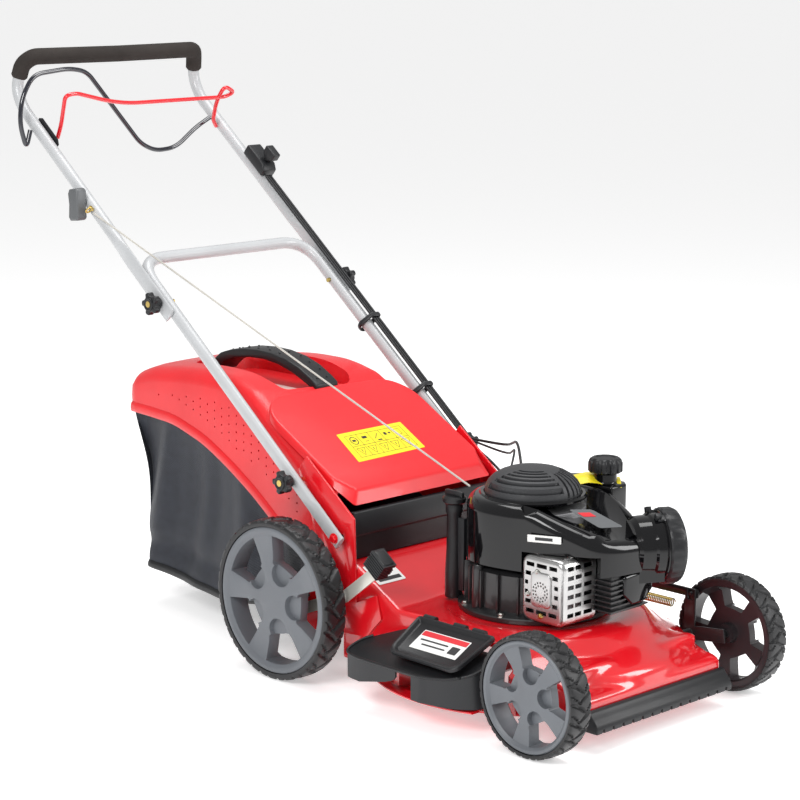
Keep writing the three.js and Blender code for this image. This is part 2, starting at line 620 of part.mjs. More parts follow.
// ================================================================ rear door and grass catcher
const DOOR_HALF = 178;
const DOOR_Y = TUNNEL_END - 8;
const DOOR_Z = 300;
const DOOR_END = [430, 453];
function rearDoor() {
  const y = DOOR_Y - 2;
  const z = DOOR_Z + 4;
  const [ey, ez] = DOOR_END;
  const top = prismX([[y, z], [y + 10, z + 23], [ey, ez], [ey, ez - 6], [y + 14, z + 18], [y + 6, z]], -DOOR_HALF, DOOR_HALF);
  const flank = (x0) => prismX([[y + 1, z], [y + 11, z + 23], [ey, ez - 1], [ey, ez - 18], [y + 22, z + 8], [y + 18, z]], x0, x0 + 5);
  return join(top, flank(-DOOR_HALF), flank(DOOR_HALF - 5));
}
add('rear_door', rearDoor(), redPlastic);

// Stations of the grass catcher: y, half width, lower edge of the lid, top of the lid.
const CATCH_FRONT = TUNNEL_END + 26;
const LID = [
  [CATCH_FRONT, 183, 150, 330], [320, 182, 200, 381], [424, 170, 262, 436], [440, 168, 272, 460], [520, 160, 312, 482],
  [602, 151, 345, 484], [700, 141, 367, 476], [800, 130, 369, 462], [846, 126, 369, 440],
];
function lidSolid(inset) {
  return skin(LID.map(([y, half, low, top], i) => {
    const w = half - inset;
    const t = top - inset;
    const b = inset > 0 ? low - 8 : low;
    const end = i === LID.length - 1 ? y - inset : i === 0 ? y - inset : y;
    return [[-w, b], [w, b], [w, t - 30], [w - 26, t], [26 - w, t], [-w, t - 30]].map(([x, z]) => [x, end, z]);
  }));
}

const WELL = { x0: -88, x1: 88, y0: 436, y1: 690, z: 440 };
const wellBox = (grow) => box(WELL.x0 - grow, WELL.x1 + grow, WELL.y0 - grow, WELL.y1 + grow, WELL.z - grow, WELL.z + 90);
add('catcher_lid', cut(lidSolid(0), wellBox(0), cut(lidSolid(3), wellBox(3))), redPlastic);

function bagSolid(inset) {
  const stations = LID.map(([y, half, low]) => {
    const t = Math.min(1, Math.max(0, (y - CATCH_FRONT) / 340));
    const floor = y < 560 ? 112 - 50 * t : 62 + (y - 560) * 0.055;
    return [y, half - 5, floor, low + 14];
  });
  return skin(stations.map(([y, half, floor, top], i) => {
    const w = half - inset;
    const wide = i === 0 ? y - inset : y;
    const end = i === stations.length - 1 ? y - 4 - inset : wide;
    const foot = i === stations.length - 1 ? end - 30 : end;
    const t = inset > 0 ? top + 10 : top;
    return [[-w + 12, foot, floor + inset], [w - 12, foot, floor + inset], [w, end, t], [-w, end, t]];
  }));
}
add('catcher_bag', cut(bagSolid(0), bagSolid(2.5)), mesh);

function catcherHandle() {
  const path = rounded([[0, WELL.y1 + 22, 482], [0, WELL.y1 - 40, 497], [0, 520, 500], [0, WELL.y0 + 10, 470], [0, WELL.y0 - 6, 465]], 40, 3);
  return bar(path, 8, 8, false, path.map(() => [22, 5]));
}
add('catcher_handle', catcherHandle(), blackPlastic);

function fillIndicator() {
  return box(-60, 20, 470, 560, WELL.z + 6, WELL.z + 9);
}
add('fill_indicator', fillIndicator(), greyFlap);

// ================================================================ side flap and chute
const FLAP_X = LEG_X;
const FLAP_Z = DECK_TOP + 8;
const FLAP_OUT = [LEG_X + 85, DECK_TOP - 38];
function sideFlap() {
  const [ox, oz] = FLAP_OUT;
  return prismY([[-FLAP_X + 4, FLAP_Z], [-ox, oz], [-ox, oz - 5], [-FLAP_X + 2, FLAP_Z - 5]], -174, -2);
}
add('side_flap', sideFlap(), blackPlastic);

function sideChute() {
  const zAt = (x) => DECK_TOP - 21 + (x + PORT_X + 4) * 0.44;
  const plan = [[-PORT_X - 3, -184], [-PORT_X - 3, 30], [-250, 84], [-292, 92], [-294, -96], [-276, -150], [-250, -184]];
  const shelf = skin([
    plan.map(([x, y]) => [x, y, zAt(x) - 4]),
    plan.map(([x, y]) => [x, y, zAt(x)]),
  ]);
  const face = prismZ([[-294, -96], [-276, -150], [-250, -184], [-246, -182], [-272, -148], [-290, -95]], 48, zAt(-276) - 3);
  const skirt = prismZ([[-294, -18], [-292, 92], [-288, 91], [-290, -18]], 52, zAt(-292) - 1);
  return join(shelf, face, skirt);
}
add('side_chute', sideChute(), blackPlastic);

// ================================================================ handle
function lowerHandle() {
  const leg = (L) => [LEG_X, ...along(L)];
  const centre = [0, ...along(CROSSBAR_AT)];
  const corner = [LEG_X, ...along(CROSSBAR_AT)];
  const half = rounded([leg(-12), leg(70), leg(90), leg(KNOB_AT - 60), corner, centre], 58, 4).slice(0, -1);
  const points = mirrorPath(half);
  const sizes = points.map(([, y, z]) => {
    const L = (y - BOLT_Y) * Math.cos(SLOPE) + (z - BOLT_Z) * Math.sin(SLOPE);
    return L < 80 ? [5, 14] : [TUBE_RADIUS, TUBE_RADIUS];
  });
  const [ky, kz] = along(KNOB_AT);
  return cut(
    bar(points, TUBE_RADIUS, 10, false, sizes),
    pinX(ky, kz, 4.6, -400, 400, 8), pinX(...along(133), 4.6, -400, 400, 8),
    pinX(BOLT_Y, BOLT_Z, 5, -400, 400, 8),
  );
}
add('lower_handle', lowerHandle(), greyPaint);

const BAR_Y = 1025;                  // hand grip
const BAR_Z = 1025;
function upperPath() {
  const knee = KNOB_AT + (CROSSBAR_AT - KNOB_AT) * 1.25;
  const straight = [
    [FLAT_X, ...along(KNOB_AT - 35)], [FLAT_X, ...along(knee)], [UPPER_X, ...along(knee + 24)], [UPPER_X, ...along(1000)],
  ];
  const bend = [[UPPER_X, 1030, 920], [UPPER_X, 1047, 944], [UPPER_X - 2, 1060, 975], [UPPER_X - 6, 1052, 1000]];
  const corner = rounded([[UPPER_X - 6, 1052, 1000], [UPPER_X - 12, BAR_Y + 6, BAR_Z + 2], [0, BAR_Y, BAR_Z]], 34, 5);
  return straight.concat(bend, corner.slice(1, -1));
}

function upperHandle() {
  const points = mirrorPath(upperPath());
  const sizes = points.map(([x, y]) => (Math.abs(x) === FLAT_X ? [FLAT_HALF, 15] : [TUBE_RADIUS, TUBE_RADIUS]));
  return cut(bar(points, TUBE_RADIUS, 10, false, sizes), pinX(...along(KNOB_AT), 4.6, -400, 400, 8));
}
add('upper_handle', upperHandle(), greyPaint);

function foamGrip() {
  const half = upperPath().slice(8);
  const points = mirrorPath(half);
  const longer = [[...half[0]], ...points.slice(1, -1), points[points.length - 1]];
  const inner = bar(mirrorPath(upperPath().slice(7)), TUBE_RADIUS + 0.8, 10);
  return cut(bar(longer, TUBE_RADIUS + 6, 10), inner);
}
add('foam_grip', foamGrip(), foam);

function starKnob(side, L, seat, reach) {
  const [y, z] = along(L);
  const pairs = [[11, seat + GAP], [11, seat + 8], [21, seat + 10], [21, seat + 22], [14, seat + 26]];
  const body = skin(pairs.map(([r, x]) => circle(1, 20).map(([a, b], i) => {
    const lobe = r > 20 && i % 4 >= 2 ? r - 5 : r;
    return [side * x, y + a * lobe, z + b * lobe];
  })));
  const shank = [side * reach, side * (seat + 4)].sort((a, b) => a - b);
  return join(body, pinX(y, z, 4, shank[0], shank[1], 8));
}
for (const [hand, side] of [['right', -1], ['left', 1]]) {
  add(`fold_knob_${hand}`, starKnob(side, KNOB_AT, FLAT_X + FLAT_HALF, LEG_X - TUBE_RADIUS - 4), blackPlastic);
  add(`height_knob_${hand}`, starKnob(side, 133, LEG_X + TUBE_RADIUS, BRACKET_X + PLATE + 1), blackPlastic);
}

// Box lying along a handle leg between two distances from the lower bolt.
function legBox(x0, x1, from, to, low, high) {
  return prismX([along(from, low), along(to, low), along(to, high), along(from, high)], x0, x1);
}
add('bail_bracket', legBox(-UPPER_X + TUBE_RADIUS + GAP, -UPPER_X + TUBE_RADIUS + 13, 970, 1040, -12, 14), blackPlastic);

// Bent wire in a plane through a hinge line along X; each point is [x, distance from the hinge].
function bail(pivot, angle, points, radius) {
  const t = THREE.MathUtils.degToRad(angle);
  const path = points.map(([x, e]) => [x, pivot[0] + e * Math.cos(t), pivot[1] + e * Math.sin(t)]);
  return bar(rounded(path, 22, 2), radius, 8);
}
const DRIVE_AT = along(995);
const STOP_AT = along(1020);
const DRIVE_ANGLE = 120;
const STOP_ANGLE = 90;
add('drive_bail', bail(DRIVE_AT, DRIVE_ANGLE, [
  [-188, 0], [-190, 28], [-204, 94], [-180, 98], [-97, 76], [-42, 68], [196, 69], [215, 79], [184, 96], [178, 60], [188, 15], [202, 0],
], 4), redPaint);
add('stop_bail', bail(STOP_AT, STOP_ANGLE, [
  [-236, 0], [-246, -34], [-260, 13], [-254, 59], [-227, 102], [-144, 110], [-102, 103], [26, -41], [63, -57], [114, -54],
  [165, -18], [202, 0],
], 4.5), glossBlack);

add('throttle_housing', join(
  legBox(UPPER_X - 14, UPPER_X + 20, 838, 905, TUBE_RADIUS + GAP, 34),
  legBox(UPPER_X + TUBE_RADIUS + GAP, UPPER_X + 20, 838, 905, -12, 20),
), blackPlastic);
const THROTTLE_AT = 857;
function throttleLever() {
  const profile = [[-3, 35.5], [3, 35.5], [15, 47], [15, 62], [-15, 62], [-15, 47]];
  return prismX(profile.map(([d, lift]) => along(THROTTLE_AT + d, lift)), UPPER_X - 4, UPPER_X + 14);
}
add('throttle_lever', throttleLever(), blackPlastic);

// ================================================================ recoil starter cord
const EYE = [-UPPER_X - TUBE_RADIUS - 9, ...along(800, 6)];
function ropeGuide() {
  const ring = [];
  for (let i = 0; i < 12; i += 1) {
    const t = (i / 12) * 2 * Math.PI;
    ring.push([EYE[0] + 6.5 * Math.cos(t), EYE[1] - 6.5 * Math.sin(t) * Math.sin(SLOPE), EYE[2] + 6.5 * Math.sin(t) * Math.cos(SLOPE)]);
  }
  return bar(ring, 2, 8, true);
}
add('rope_guide', ropeGuide(), brass);

const ROPE_END = [-64, 20, COWL_TOP + 5];
const ropeDirection = new THREE.Vector3(...EYE).sub(new THREE.Vector3(...ROPE_END)).normalize();
const onRope = (distance) => {
  const q = new THREE.Vector3(...EYE).addScaledVector(ropeDirection, distance);
  return [q.x, q.y, q.z];
};
add('starter_rope', bar([onRope(12), onRope(-300), onRope(-600), ROPE_END], 1.8, 8), rope);
function starterHandle() {
  const [x, y, z] = onRope(26);
  return prismX([[y - 12, z - 28], [y + 14, z - 34], [y + 22, z + 22], [y - 4, z + 28]], x - 16, x + 9);
}
add('starter_handle', starterHandle(), greyPlastic);

// ================================================================ control cables
function legCable(x, lift, from, to, tail, radius) {
  const run = [[x, ...along(from, lift)], [x, ...along(to, lift)]];
  return bar(rounded(run.concat(tail), 60, 3), radius, 8);
}
const CABLE_LIFT = TUBE_RADIUS + 8;
add('throttle_cable', legCable(UPPER_X + 2, CABLE_LIFT, 830, 130, [[214, 190, 352], [120, 80, 392], [62, 16, COWL_TOP + 9]], 2.5), blackPlastic);
add('stop_cable', legCable(UPPER_X - 4, CABLE_LIFT, 830, 130, [[206, 180, 338], [110, 76, 380], [42, 28, COWL_TOP + 6]], 2), blackPlastic);
add('drive_cable', legCable(UPPER_X - 10, CABLE_LIFT, 830, 130, [[210, 206, 308], [206, 146, 256], [150, 128, 187]], 2.5), blackPlastic);

// ================================================================ placement
const bounds = new THREE.Box3().setFromObject(assembly);
const middle = bounds.getCenter(new THREE.Vector3());
assembly.position.set(-middle.x, -middle.y, -bounds.min.z);
const mower = new THREE.Group();
mower.name = 'mower';
mower.add(assembly);
mower.updateMatrixWorld(true);

export default mower;
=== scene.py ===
# %% [markdown]
# # A walk-behind lawn mower with a rear grass catcher
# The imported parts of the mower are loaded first. They fix every size and every place, and the
# pieces made below are dressed around them. Lengths are written in millimetres from the middle
# of the mower at ground level, with the front of the mower towards minus Y and up along Z.

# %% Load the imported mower
import json
import math

import bmesh
import bpy
from mathutils import Matrix, Vector


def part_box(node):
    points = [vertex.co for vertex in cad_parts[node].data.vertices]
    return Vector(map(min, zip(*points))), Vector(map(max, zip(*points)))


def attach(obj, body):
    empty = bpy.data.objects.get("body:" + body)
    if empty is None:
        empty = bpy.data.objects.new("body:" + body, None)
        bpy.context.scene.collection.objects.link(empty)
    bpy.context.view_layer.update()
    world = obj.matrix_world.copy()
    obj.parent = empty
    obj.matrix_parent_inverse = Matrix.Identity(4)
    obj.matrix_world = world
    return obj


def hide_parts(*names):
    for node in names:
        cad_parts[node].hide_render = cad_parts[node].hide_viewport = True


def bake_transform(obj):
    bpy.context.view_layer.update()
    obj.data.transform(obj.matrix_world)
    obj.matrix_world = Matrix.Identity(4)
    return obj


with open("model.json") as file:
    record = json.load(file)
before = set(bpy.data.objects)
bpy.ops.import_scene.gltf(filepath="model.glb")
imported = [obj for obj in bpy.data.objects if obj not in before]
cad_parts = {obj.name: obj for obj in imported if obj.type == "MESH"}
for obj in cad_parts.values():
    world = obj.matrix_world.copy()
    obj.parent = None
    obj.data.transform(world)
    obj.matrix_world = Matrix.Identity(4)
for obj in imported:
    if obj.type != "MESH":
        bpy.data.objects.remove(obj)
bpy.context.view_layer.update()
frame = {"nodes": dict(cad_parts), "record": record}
scene = bpy.context.scene

# %% [markdown]
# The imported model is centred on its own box, so the middle line used here is a little to one
# side of its origin. The left rear tyre says where: its centre is a known point of the mower.

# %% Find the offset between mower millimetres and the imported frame
REAR_RADIUS, FRONT_RADIUS = 140, 100
REAR_Y, FRONT_Y = 281, -298
REAR_INNER, REAR_WIDTH = 232, 48
FRONT_INNER, FRONT_WIDTH = 227, 46

low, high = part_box("rear_tyre_left")
OFFSET = (low + high) / 2 - Vector((REAR_INNER + REAR_WIDTH / 2, REAR_Y, REAR_RADIUS)) / 1000
TO_FRAME = Matrix.Translation(OFFSET) @ Matrix.Scale(0.001, 4)


def spot(x, y, z):
    """A point in mower millimetres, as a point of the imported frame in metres."""
    return TO_FRAME @ Vector((x, y, z))


print("offset:", tuple(round(v, 5) for v in OFFSET))

# %% [markdown]
# ## Camera
# A long lens a few metres away, in front of the mower and to its right, a little above it. The
# small roll keeps uprights upright on the page.

# %% Place the camera
AZIMUTH, ELEVATION, ROLL = (math.radians(v) for v in (-45.038, 11.120, 0.3185))
lens_back = Vector((
    math.sin(AZIMUTH) * math.cos(ELEVATION),
    -math.cos(AZIMUTH) * math.cos(ELEVATION),
    math.sin(ELEVATION),
))
level = (-lens_back).cross(Vector((0, 0, 1))).normalized()
upright = level.cross(-lens_back)
turned_right = math.cos(ROLL) * level + math.sin(ROLL) * upright
turned_up = math.cos(ROLL) * upright - math.sin(ROLL) * level
camera_data = bpy.data.cameras.new("camera")
camera_data.lens = 2469.53 / 800 * camera_data.sensor_width
camera_data.shift_x, camera_data.shift_y = 0.00086, -0.00029
camera_data.clip_end = 200
camera = bpy.data.objects.new("camera", camera_data)
scene.collection.objects.link(camera)
camera.matrix_world = Matrix.Translation(spot(-3005.91, -2749.13, 1290.89)) @ Matrix(
    (turned_right, turned_up, lens_back)
).transposed().to_4x4()
scene.camera = camera
print("lens:", round(camera_data.lens, 2), "mm")

# %% [markdown]
# ## Studio
# The floor is a wide pale sheet. The light comes from a bright even sky and from three large
# soft boxes, whose long reflections show how the painted steel and the moulded plastic curve.

# %% Make the floor
bm = bmesh.new()
bmesh.ops.create_grid(bm, x_segments=1, y_segments=1, size=60)
floor_mesh = bpy.data.meshes.new("floor")
bm.to_mesh(floor_mesh)
bm.free()
floor = bpy.data.objects.new("floor", floor_mesh)
scene.collection.objects.link(floor)
floor_finish = bpy.data.materials.new("floor_white")
floor_finish.use_nodes = True
floor_shader = floor_finish.node_tree.nodes["Principled BSDF"]
floor_shader.inputs["Base Color"].default_value = (0.93, 0.93, 0.93, 1)
floor_shader.inputs["Roughness"].default_value = 0.9
floor_shader.inputs["Specular IOR Level"].default_value = 0.1
floor_shader.inputs["Emission Color"].default_value = (1, 1, 1, 1)
floor_shader.inputs["Emission Strength"].default_value = 0.42
floor_mesh.materials.append(floor_finish)

# %% [markdown]
# The sky gives an even base light. A key box on the near side, a top box and a box at the far front
# corner draw the bright bands that show how each surface curves.

# %% Light the studio
world = bpy.data.worlds.new("studio_sky")
world.use_nodes = True
world.node_tree.nodes["Background"].inputs["Color"].default_value = (1, 1, 1, 1)
world.node_tree.nodes["Background"].inputs["Strength"].default_value = 0.5
scene.world = world
scene.view_settings.view_transform = "Standard"
scene.view_settings.look = "None"


def soft_box(name, place, size, power):
    """A square area lamp that faces the middle of the mower."""
    data = bpy.data.lights.new(name, "AREA")
    data.shape, data.size, data.energy = "RECTANGLE", size[0], power
    data.size_y = size[1]
    lamp = bpy.data.objects.new(name, data)
    scene.collection.objects.link(lamp)
    lamp.location = place
    lamp.rotation_euler = (Vector(place) - Vector((0, 0, 0.35))).to_track_quat("Z", "Y").to_euler()
    return lamp


soft_box("key_box", (-3.2, -1.2, 2.6), (1.6, 1.2), 85)
soft_box("top_box", (0.4, 0.2, 3.2), (2.4, 1.4), 60)
soft_box("far_box", (1.8, -2.6, 1.8), (1.0, 1.6), 45)

# %% [markdown]
# ## Finishes
# Every hard surface of the mower shares the same small faults: a fine grain from the mould or
# the paint gun, patches that are a little glossier than others, and edges that have rubbed
# bright. One shader group holds them, and each finish gives it its own numbers.

# %% Add a node with its sockets filled
def put(tree, kind, sockets=(), **settings):
    """A new node; a socket's value is a number, a colour, or another node's output to link."""
    made = tree.nodes.new(kind)
    for key, value in settings.items():
        setattr(made, key, value)
    for key, value in dict(sockets).items():
        if isinstance(value, bpy.types.NodeSocket):
            tree.links.new(value, made.inputs[key])
        else:
            made.inputs[key].default_value = value
    return made


def maths(tree, operation, first, second):
    """The output of one Math node."""
    return put(tree, "ShaderNodeMath", {0: first, 1: second}, operation=operation).outputs[0]


# %% [markdown]
# The group mixes a base colour with a slightly darker one in broad patches. Where the surface
# points outwards, at an edge, a third colour shows through in small chips. A fine noise gives
# the height that a bump node can use.

# %% Build the group for grain, patches and worn edges
def surface_group():
    group = bpy.data.node_groups.new("Surface detail", "ShaderNodeTree")
    for name, kind, default in (
        ("Colour", "NodeSocketColor", (0.5, 0.5, 0.5, 1)),
        ("Patch colour", "NodeSocketColor", (0.4, 0.4, 0.4, 1)),
        ("Worn colour", "NodeSocketColor", (0.6, 0.6, 0.6, 1)),
        ("Wear", "NodeSocketFloat", 0.2),
        ("Roughness", "NodeSocketFloat", 0.4),
        ("Roughness spread", "NodeSocketFloat", 0.1),
        ("Grain per metre", "NodeSocketFloat", 900.0),
    ):
        group.interface.new_socket(name, in_out="INPUT", socket_type=kind).default_value = default
    for name, kind in (("Colour", "NodeSocketColor"), ("Roughness", "NodeSocketFloat"), ("Height", "NodeSocketFloat")):
        group.interface.new_socket(name, in_out="OUTPUT", socket_type=kind)
    given = put(group, "NodeGroupInput").outputs
    place = put(group, "ShaderNodeTexCoord").outputs["Object"]
    fine = put(group, "ShaderNodeTexNoise", {"Vector": place, "Scale": given["Grain per metre"], "Detail": 3})
    broad = put(group, "ShaderNodeTexNoise", {"Vector": place, "Scale": 14.0, "Detail": 4})
    patch = put(group, "ShaderNodeMapRange", {"Value": broad.outputs["Fac"], "From Min": 0.35, "From Max": 0.7})
    bright = put(group, "ShaderNodeMapRange", {
        "Value": put(group, "ShaderNodeNewGeometry").outputs["Pointiness"], "From Min": 0.53, "From Max": 0.62,
    })
    chips = put(group, "ShaderNodeMapRange", {"Value": fine.outputs["Fac"], "From Min": 0.3, "From Max": 0.6})
    rubbed = maths(group, "MULTIPLY", bright.outputs[0], chips.outputs[0])
    rubbed = maths(group, "MULTIPLY", rubbed, given["Wear"])
    base = put(group, "ShaderNodeMix", {
        "Factor": patch.outputs[0], 6: given["Colour"], 7: given["Patch colour"]}, data_type="RGBA")
    worn = put(group, "ShaderNodeMix", {
        "Factor": rubbed, 6: base.outputs[2], 7: given["Worn colour"]}, data_type="RGBA")
    spread = maths(group, "MULTIPLY", maths(group, "SUBTRACT", broad.outputs["Fac"], 0.5), given["Roughness spread"])
    put(group, "NodeGroupOutput", {
        "Colour": worn.outputs[2],
        "Roughness": maths(group, "ADD", given["Roughness"], spread),
        "Height": fine.outputs["Fac"],
    })
    return group


SURFACE = surface_group()


# %% [markdown]
# A finish is one material with this group in it. Its numbers say how glossy it is, how coarse
# its grain is and how worn its edges are.

# %% Make one finish from the group
def tone(colour, by):
    """A colour made lighter or darker, with its alpha."""
    return (*(min(1, c * by) for c in colour), 1)


def hard_finish(name, colour, roughness, grain=900, depth=0.02, patch=0.92, worn=1.8, wear=0.25, spread=0.12,
                metal=0.0, coat=0.0, specular=0.5):
    """A paint, a moulded plastic or a metal, with its own grain, patches and worn edges."""
    finish = bpy.data.materials.new(name)
    finish.use_nodes = True
    tree = finish.node_tree
    detail = put(tree, "ShaderNodeGroup", node_tree=SURFACE)
    for key, value in (
        ("Colour", (*colour, 1)), ("Patch colour", tone(colour, patch)), ("Worn colour", tone(colour, worn)),
        ("Wear", wear), ("Roughness", roughness), ("Roughness spread", spread), ("Grain per metre", grain),
    ):
        detail.inputs[key].default_value = value
    bump = put(tree, "ShaderNodeBump", {"Height": detail.outputs["Height"], "Strength": depth, "Distance": 0.001})
    shader = tree.nodes["Principled BSDF"]
    tree.links.new(detail.outputs["Colour"], shader.inputs["Base Color"])
    tree.links.new(detail.outputs["Roughness"], shader.inputs["Roughness"])
    tree.links.new(bump.outputs["Normal"], shader.inputs["Normal"])
    shader.inputs["Metallic"].default_value = metal
    shader.inputs["Coat Weight"].default_value = coat
    shader.inputs["Coat Roughness"].default_value = 0.04
    shader.inputs["Specular IOR Level"].default_value = specular
    finish.diffuse_color = (*colour, 1)
    return finish


# %% [markdown]
# The deck is powder-coated red and very glossy. The door and the lid of the catcher are moulded
# in a red plastic with a fine pebble. The wheels, knobs and covers are black or grey plastics,
# each with its own roughness. Metals are bare only where they are bright on the real mower.

# %% Make the finishes
DECK_RED = hard_finish("deck_red_paint", (0.72, 0.005, 0.012), 0.22, grain=350, depth=0.03, coat=0.9,
                        worn=1.15, spread=0.08)
LID_RED = hard_finish("lid_red_plastic", (0.74, 0.008, 0.014), 0.34, grain=2200, depth=0.16, coat=0.15, worn=1.2)
BAIL_RED = hard_finish("bail_red_vinyl", (0.68, 0.006, 0.014), 0.18, grain=500, depth=0.03, coat=0.7, worn=1.1)
TUBE_GREY = hard_finish("tube_grey_paint", (0.46, 0.47, 0.48), 0.36, grain=1200, depth=0.05, coat=0.3, worn=1.3)
RIM_GREY = hard_finish("rim_grey_plastic", (0.125, 0.135, 0.15), 0.42, grain=1800, depth=0.10, worn=1.7, wear=0.4)
RIM_DARK_AND_SHADE = hard_finish("rim_dark_plastic_and_shade", (0.022, 0.016, 0.018), 0.38, grain=1500, depth=0.08, worn=1.8)
BLACK_PLASTIC = hard_finish("black_plastic", (0.011, 0.0115, 0.013), 0.40, grain=1600, depth=0.12, worn=2.6,
                        wear=0.45, specular=0.38)
COWL_BLACK = hard_finish("cowl_gloss_black", (0.0035, 0.0035, 0.0042), 0.09, grain=300, depth=0.012, coat=0.15,
                        worn=2.0, wear=0.1, specular=0.34)
DOME_GREY = hard_finish("dome_dark_grey", (0.028, 0.029, 0.032), 0.5, grain=2400, depth=0.18, worn=2.0)
BAIL_BLACK = hard_finish("bail_gloss_black", (0.004, 0.005, 0.012), 0.14, grain=500, depth=0.02, coat=0.9, worn=1.6)
FRAME_BLACK = hard_finish("frame_black_paint", (0.012, 0.012, 0.013), 0.36, grain=900, depth=0.06, coat=0.3,
                        worn=2.4, wear=0.4)
TYRE_BLACK = hard_finish("tyre_rubber", (0.0125, 0.0125, 0.0135), 0.42, grain=1500, depth=0.2, patch=1.5,
                        worn=2.6, wear=0.4, specular=0.42)
FOAM_BROWN = hard_finish("grip_foam", (0.040, 0.034, 0.031), 0.92, grain=1300, depth=0.75, patch=0.75,
                        worn=1.5, specular=0.2)
ZINC = hard_finish("zinc_steel", (0.50, 0.49, 0.46), 0.32, grain=1500, depth=0.05, metal=1.0, patch=0.8)
BRIGHT_STEEL = hard_finish("bright_pressed_steel", (0.55, 0.545, 0.54), 0.30, grain=1800, depth=0.06,
                        metal=1.0, patch=0.86, spread=0.2)
BLADE_STEEL = hard_finish("blade_steel", (0.30, 0.30, 0.31), 0.4, grain=900, depth=0.1, metal=1.0)
CAST_ALLOY = hard_finish("cast_alloy", (0.36, 0.36, 0.37), 0.52, grain=1400, depth=0.3, metal=1.0)
CREAM_STEEL = hard_finish("lever_cream_steel", (0.60, 0.585, 0.53), 0.34, grain=900, depth=0.05, metal=0.5)
BRASS = hard_finish("yellow_zinc", (0.56, 0.41, 0.13), 0.28, grain=1500, depth=0.05, metal=1.0, patch=0.75)
LEVER_GREY = hard_finish("pull_grey_plastic", (0.10, 0.105, 0.11), 0.45, grain=1600, depth=0.08)
LABEL_YELLOW = hard_finish("label_yellow", (0.90, 0.74, 0.02), 0.3, grain=700, depth=0.01, patch=0.98, worn=1.0)
LABEL_WHITE = hard_finish("label_white", (0.82, 0.82, 0.80), 0.3, grain=700, depth=0.01, patch=0.97, worn=1.0)
LABEL_RED = hard_finish("label_red", (0.66, 0.02, 0.03), 0.3, grain=700, depth=0.01, patch=0.95, worn=1.0)
LABEL_INK = hard_finish("label_ink", (0.02, 0.02, 0.022), 0.35, grain=700, depth=0.01, worn=1.0)
PINK_FILM = hard_finish("indicator_film", (0.60, 0.40, 0.37), 0.3, grain=500, depth=0.02)
print("finishes:", len(bpy.data.materials))

# %% [markdown]
# ## A maker's tools
# Each piece is drawn as a bmesh in mower millimetres. When it is done, its place and scale go
# into its mesh, so that its object sits at the origin, and it rides on a body of the mower.

# %% Finish a bmesh as a piece of the mower
def keep(bm, name, body, finish, stands_for=(), sharp=35, merge=0.01, outward=False):
    """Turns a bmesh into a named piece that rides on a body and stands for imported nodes."""
    if merge:
        bmesh.ops.remove_doubles(bm, verts=bm.verts, dist=merge)
    if outward:
        bmesh.ops.recalc_face_normals(bm, faces=bm.faces)
    bm.transform(TO_FRAME)
    mesh = bpy.data.meshes.new(name)
    bm.to_mesh(mesh)
    bm.free()
    finishes = finish if isinstance(finish, (list, tuple)) else [finish]
    for one in finishes:
        mesh.materials.append(one)
    mesh.shade_smooth()
    mesh.set_sharp_from_angle(angle=math.radians(sharp))
    piece = bpy.data.objects.new(name, mesh)
    scene.collection.objects.link(piece)
    if body:
        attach(piece, body)
    if stands_for:
        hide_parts(*stands_for)
    return piece


def round_edges(bm, edges, by, segments, clamp=True):
    """Rounds the given edges by a radius, in a number of steps."""
    bmesh.ops.bevel(bm, geom=edges, offset=by, offset_type="OFFSET", segments=segments, profile=0.5, affect="EDGES",
                    clamp_overlap=clamp, material=-1)


def soften(bm, by, angle=30, segments=2, only=None):
    """Rounds the edges that are sharper than an angle."""
    edges = [
        e for e in bm.edges
        if len(e.link_faces) == 2 and e.calc_face_angle(0) > math.radians(angle) and (only is None or only(e))
    ]
    if edges:
        round_edges(bm, edges, by, segments)


# %% [markdown]
# Most pieces are one of four shapes: a profile turned round an axis, a flat outline pushed
# through its thickness, a tube along a path, or a row of rings joined one to the next.

# %% Turn a profile round an axis
def turned(bm, profile, centre, axis="Z", steps=48, closed=False):
    """Spins (radius, height) pairs round an axis through a centre; ends on the axis close there."""
    start = {"Z": lambda r, h: (r, 0, h), "X": lambda r, h: (h, r, 0), "Y": lambda r, h: (0, h, r)}[axis]
    line = {"Z": (0, 0, 1), "X": (1, 0, 0), "Y": (0, 1, 0)}[axis]
    verts = [bm.verts.new(Vector(centre) + Vector(start(r, h))) for r, h in profile]
    pairs = list(zip(verts, verts[1:] + ([verts[0]] if closed else [])))
    pairs = pairs if closed else pairs[: len(profile) - 1]
    edges = [bm.edges.new(pair) for pair in pairs]
    made = bmesh.ops.spin(bm, geom=verts + edges, cent=centre, axis=line, angle=math.tau, steps=steps,
                          use_merge=True)
    bmesh.ops.remove_doubles(bm, verts=[v for v in bm.verts if v.is_valid], dist=0.001)
    return made


# %% [markdown]
# Sheet parts and moulded blocks start as an outline. Pushing it through its thickness keeps the
# outline exact, and the edges are rounded afterwards.

# %% Push an outline through a thickness
def slab(bm, outline, push):
    """A solid from a closed outline of points and the vector to push it along."""
    face = bm.faces.new([bm.verts.new(p) for p in outline])
    made = bmesh.ops.extrude_face_region(bm, geom=[face], use_keep_orig=True)["geom"]
    moved = [g for g in made if isinstance(g, bmesh.types.BMVert)]
    bmesh.ops.translate(bm, verts=moved, vec=push)
    found = {f for v in moved for f in v.link_faces} | {face}
    bmesh.ops.recalc_face_normals(bm, faces=list(found))
    return list(found)


def block(bm, low, high, turn=None):
    """A box between two corners, turned about its own middle if a matrix is given."""
    middle, size = (Vector(low) + Vector(high)) / 2, Vector(high) - Vector(low)
    matrix = Matrix.Translation(middle) @ (turn or Matrix.Identity(4)) @ Matrix.Diagonal((*size, 1))
    return bmesh.ops.create_cube(bm, size=1, matrix=matrix)["verts"]


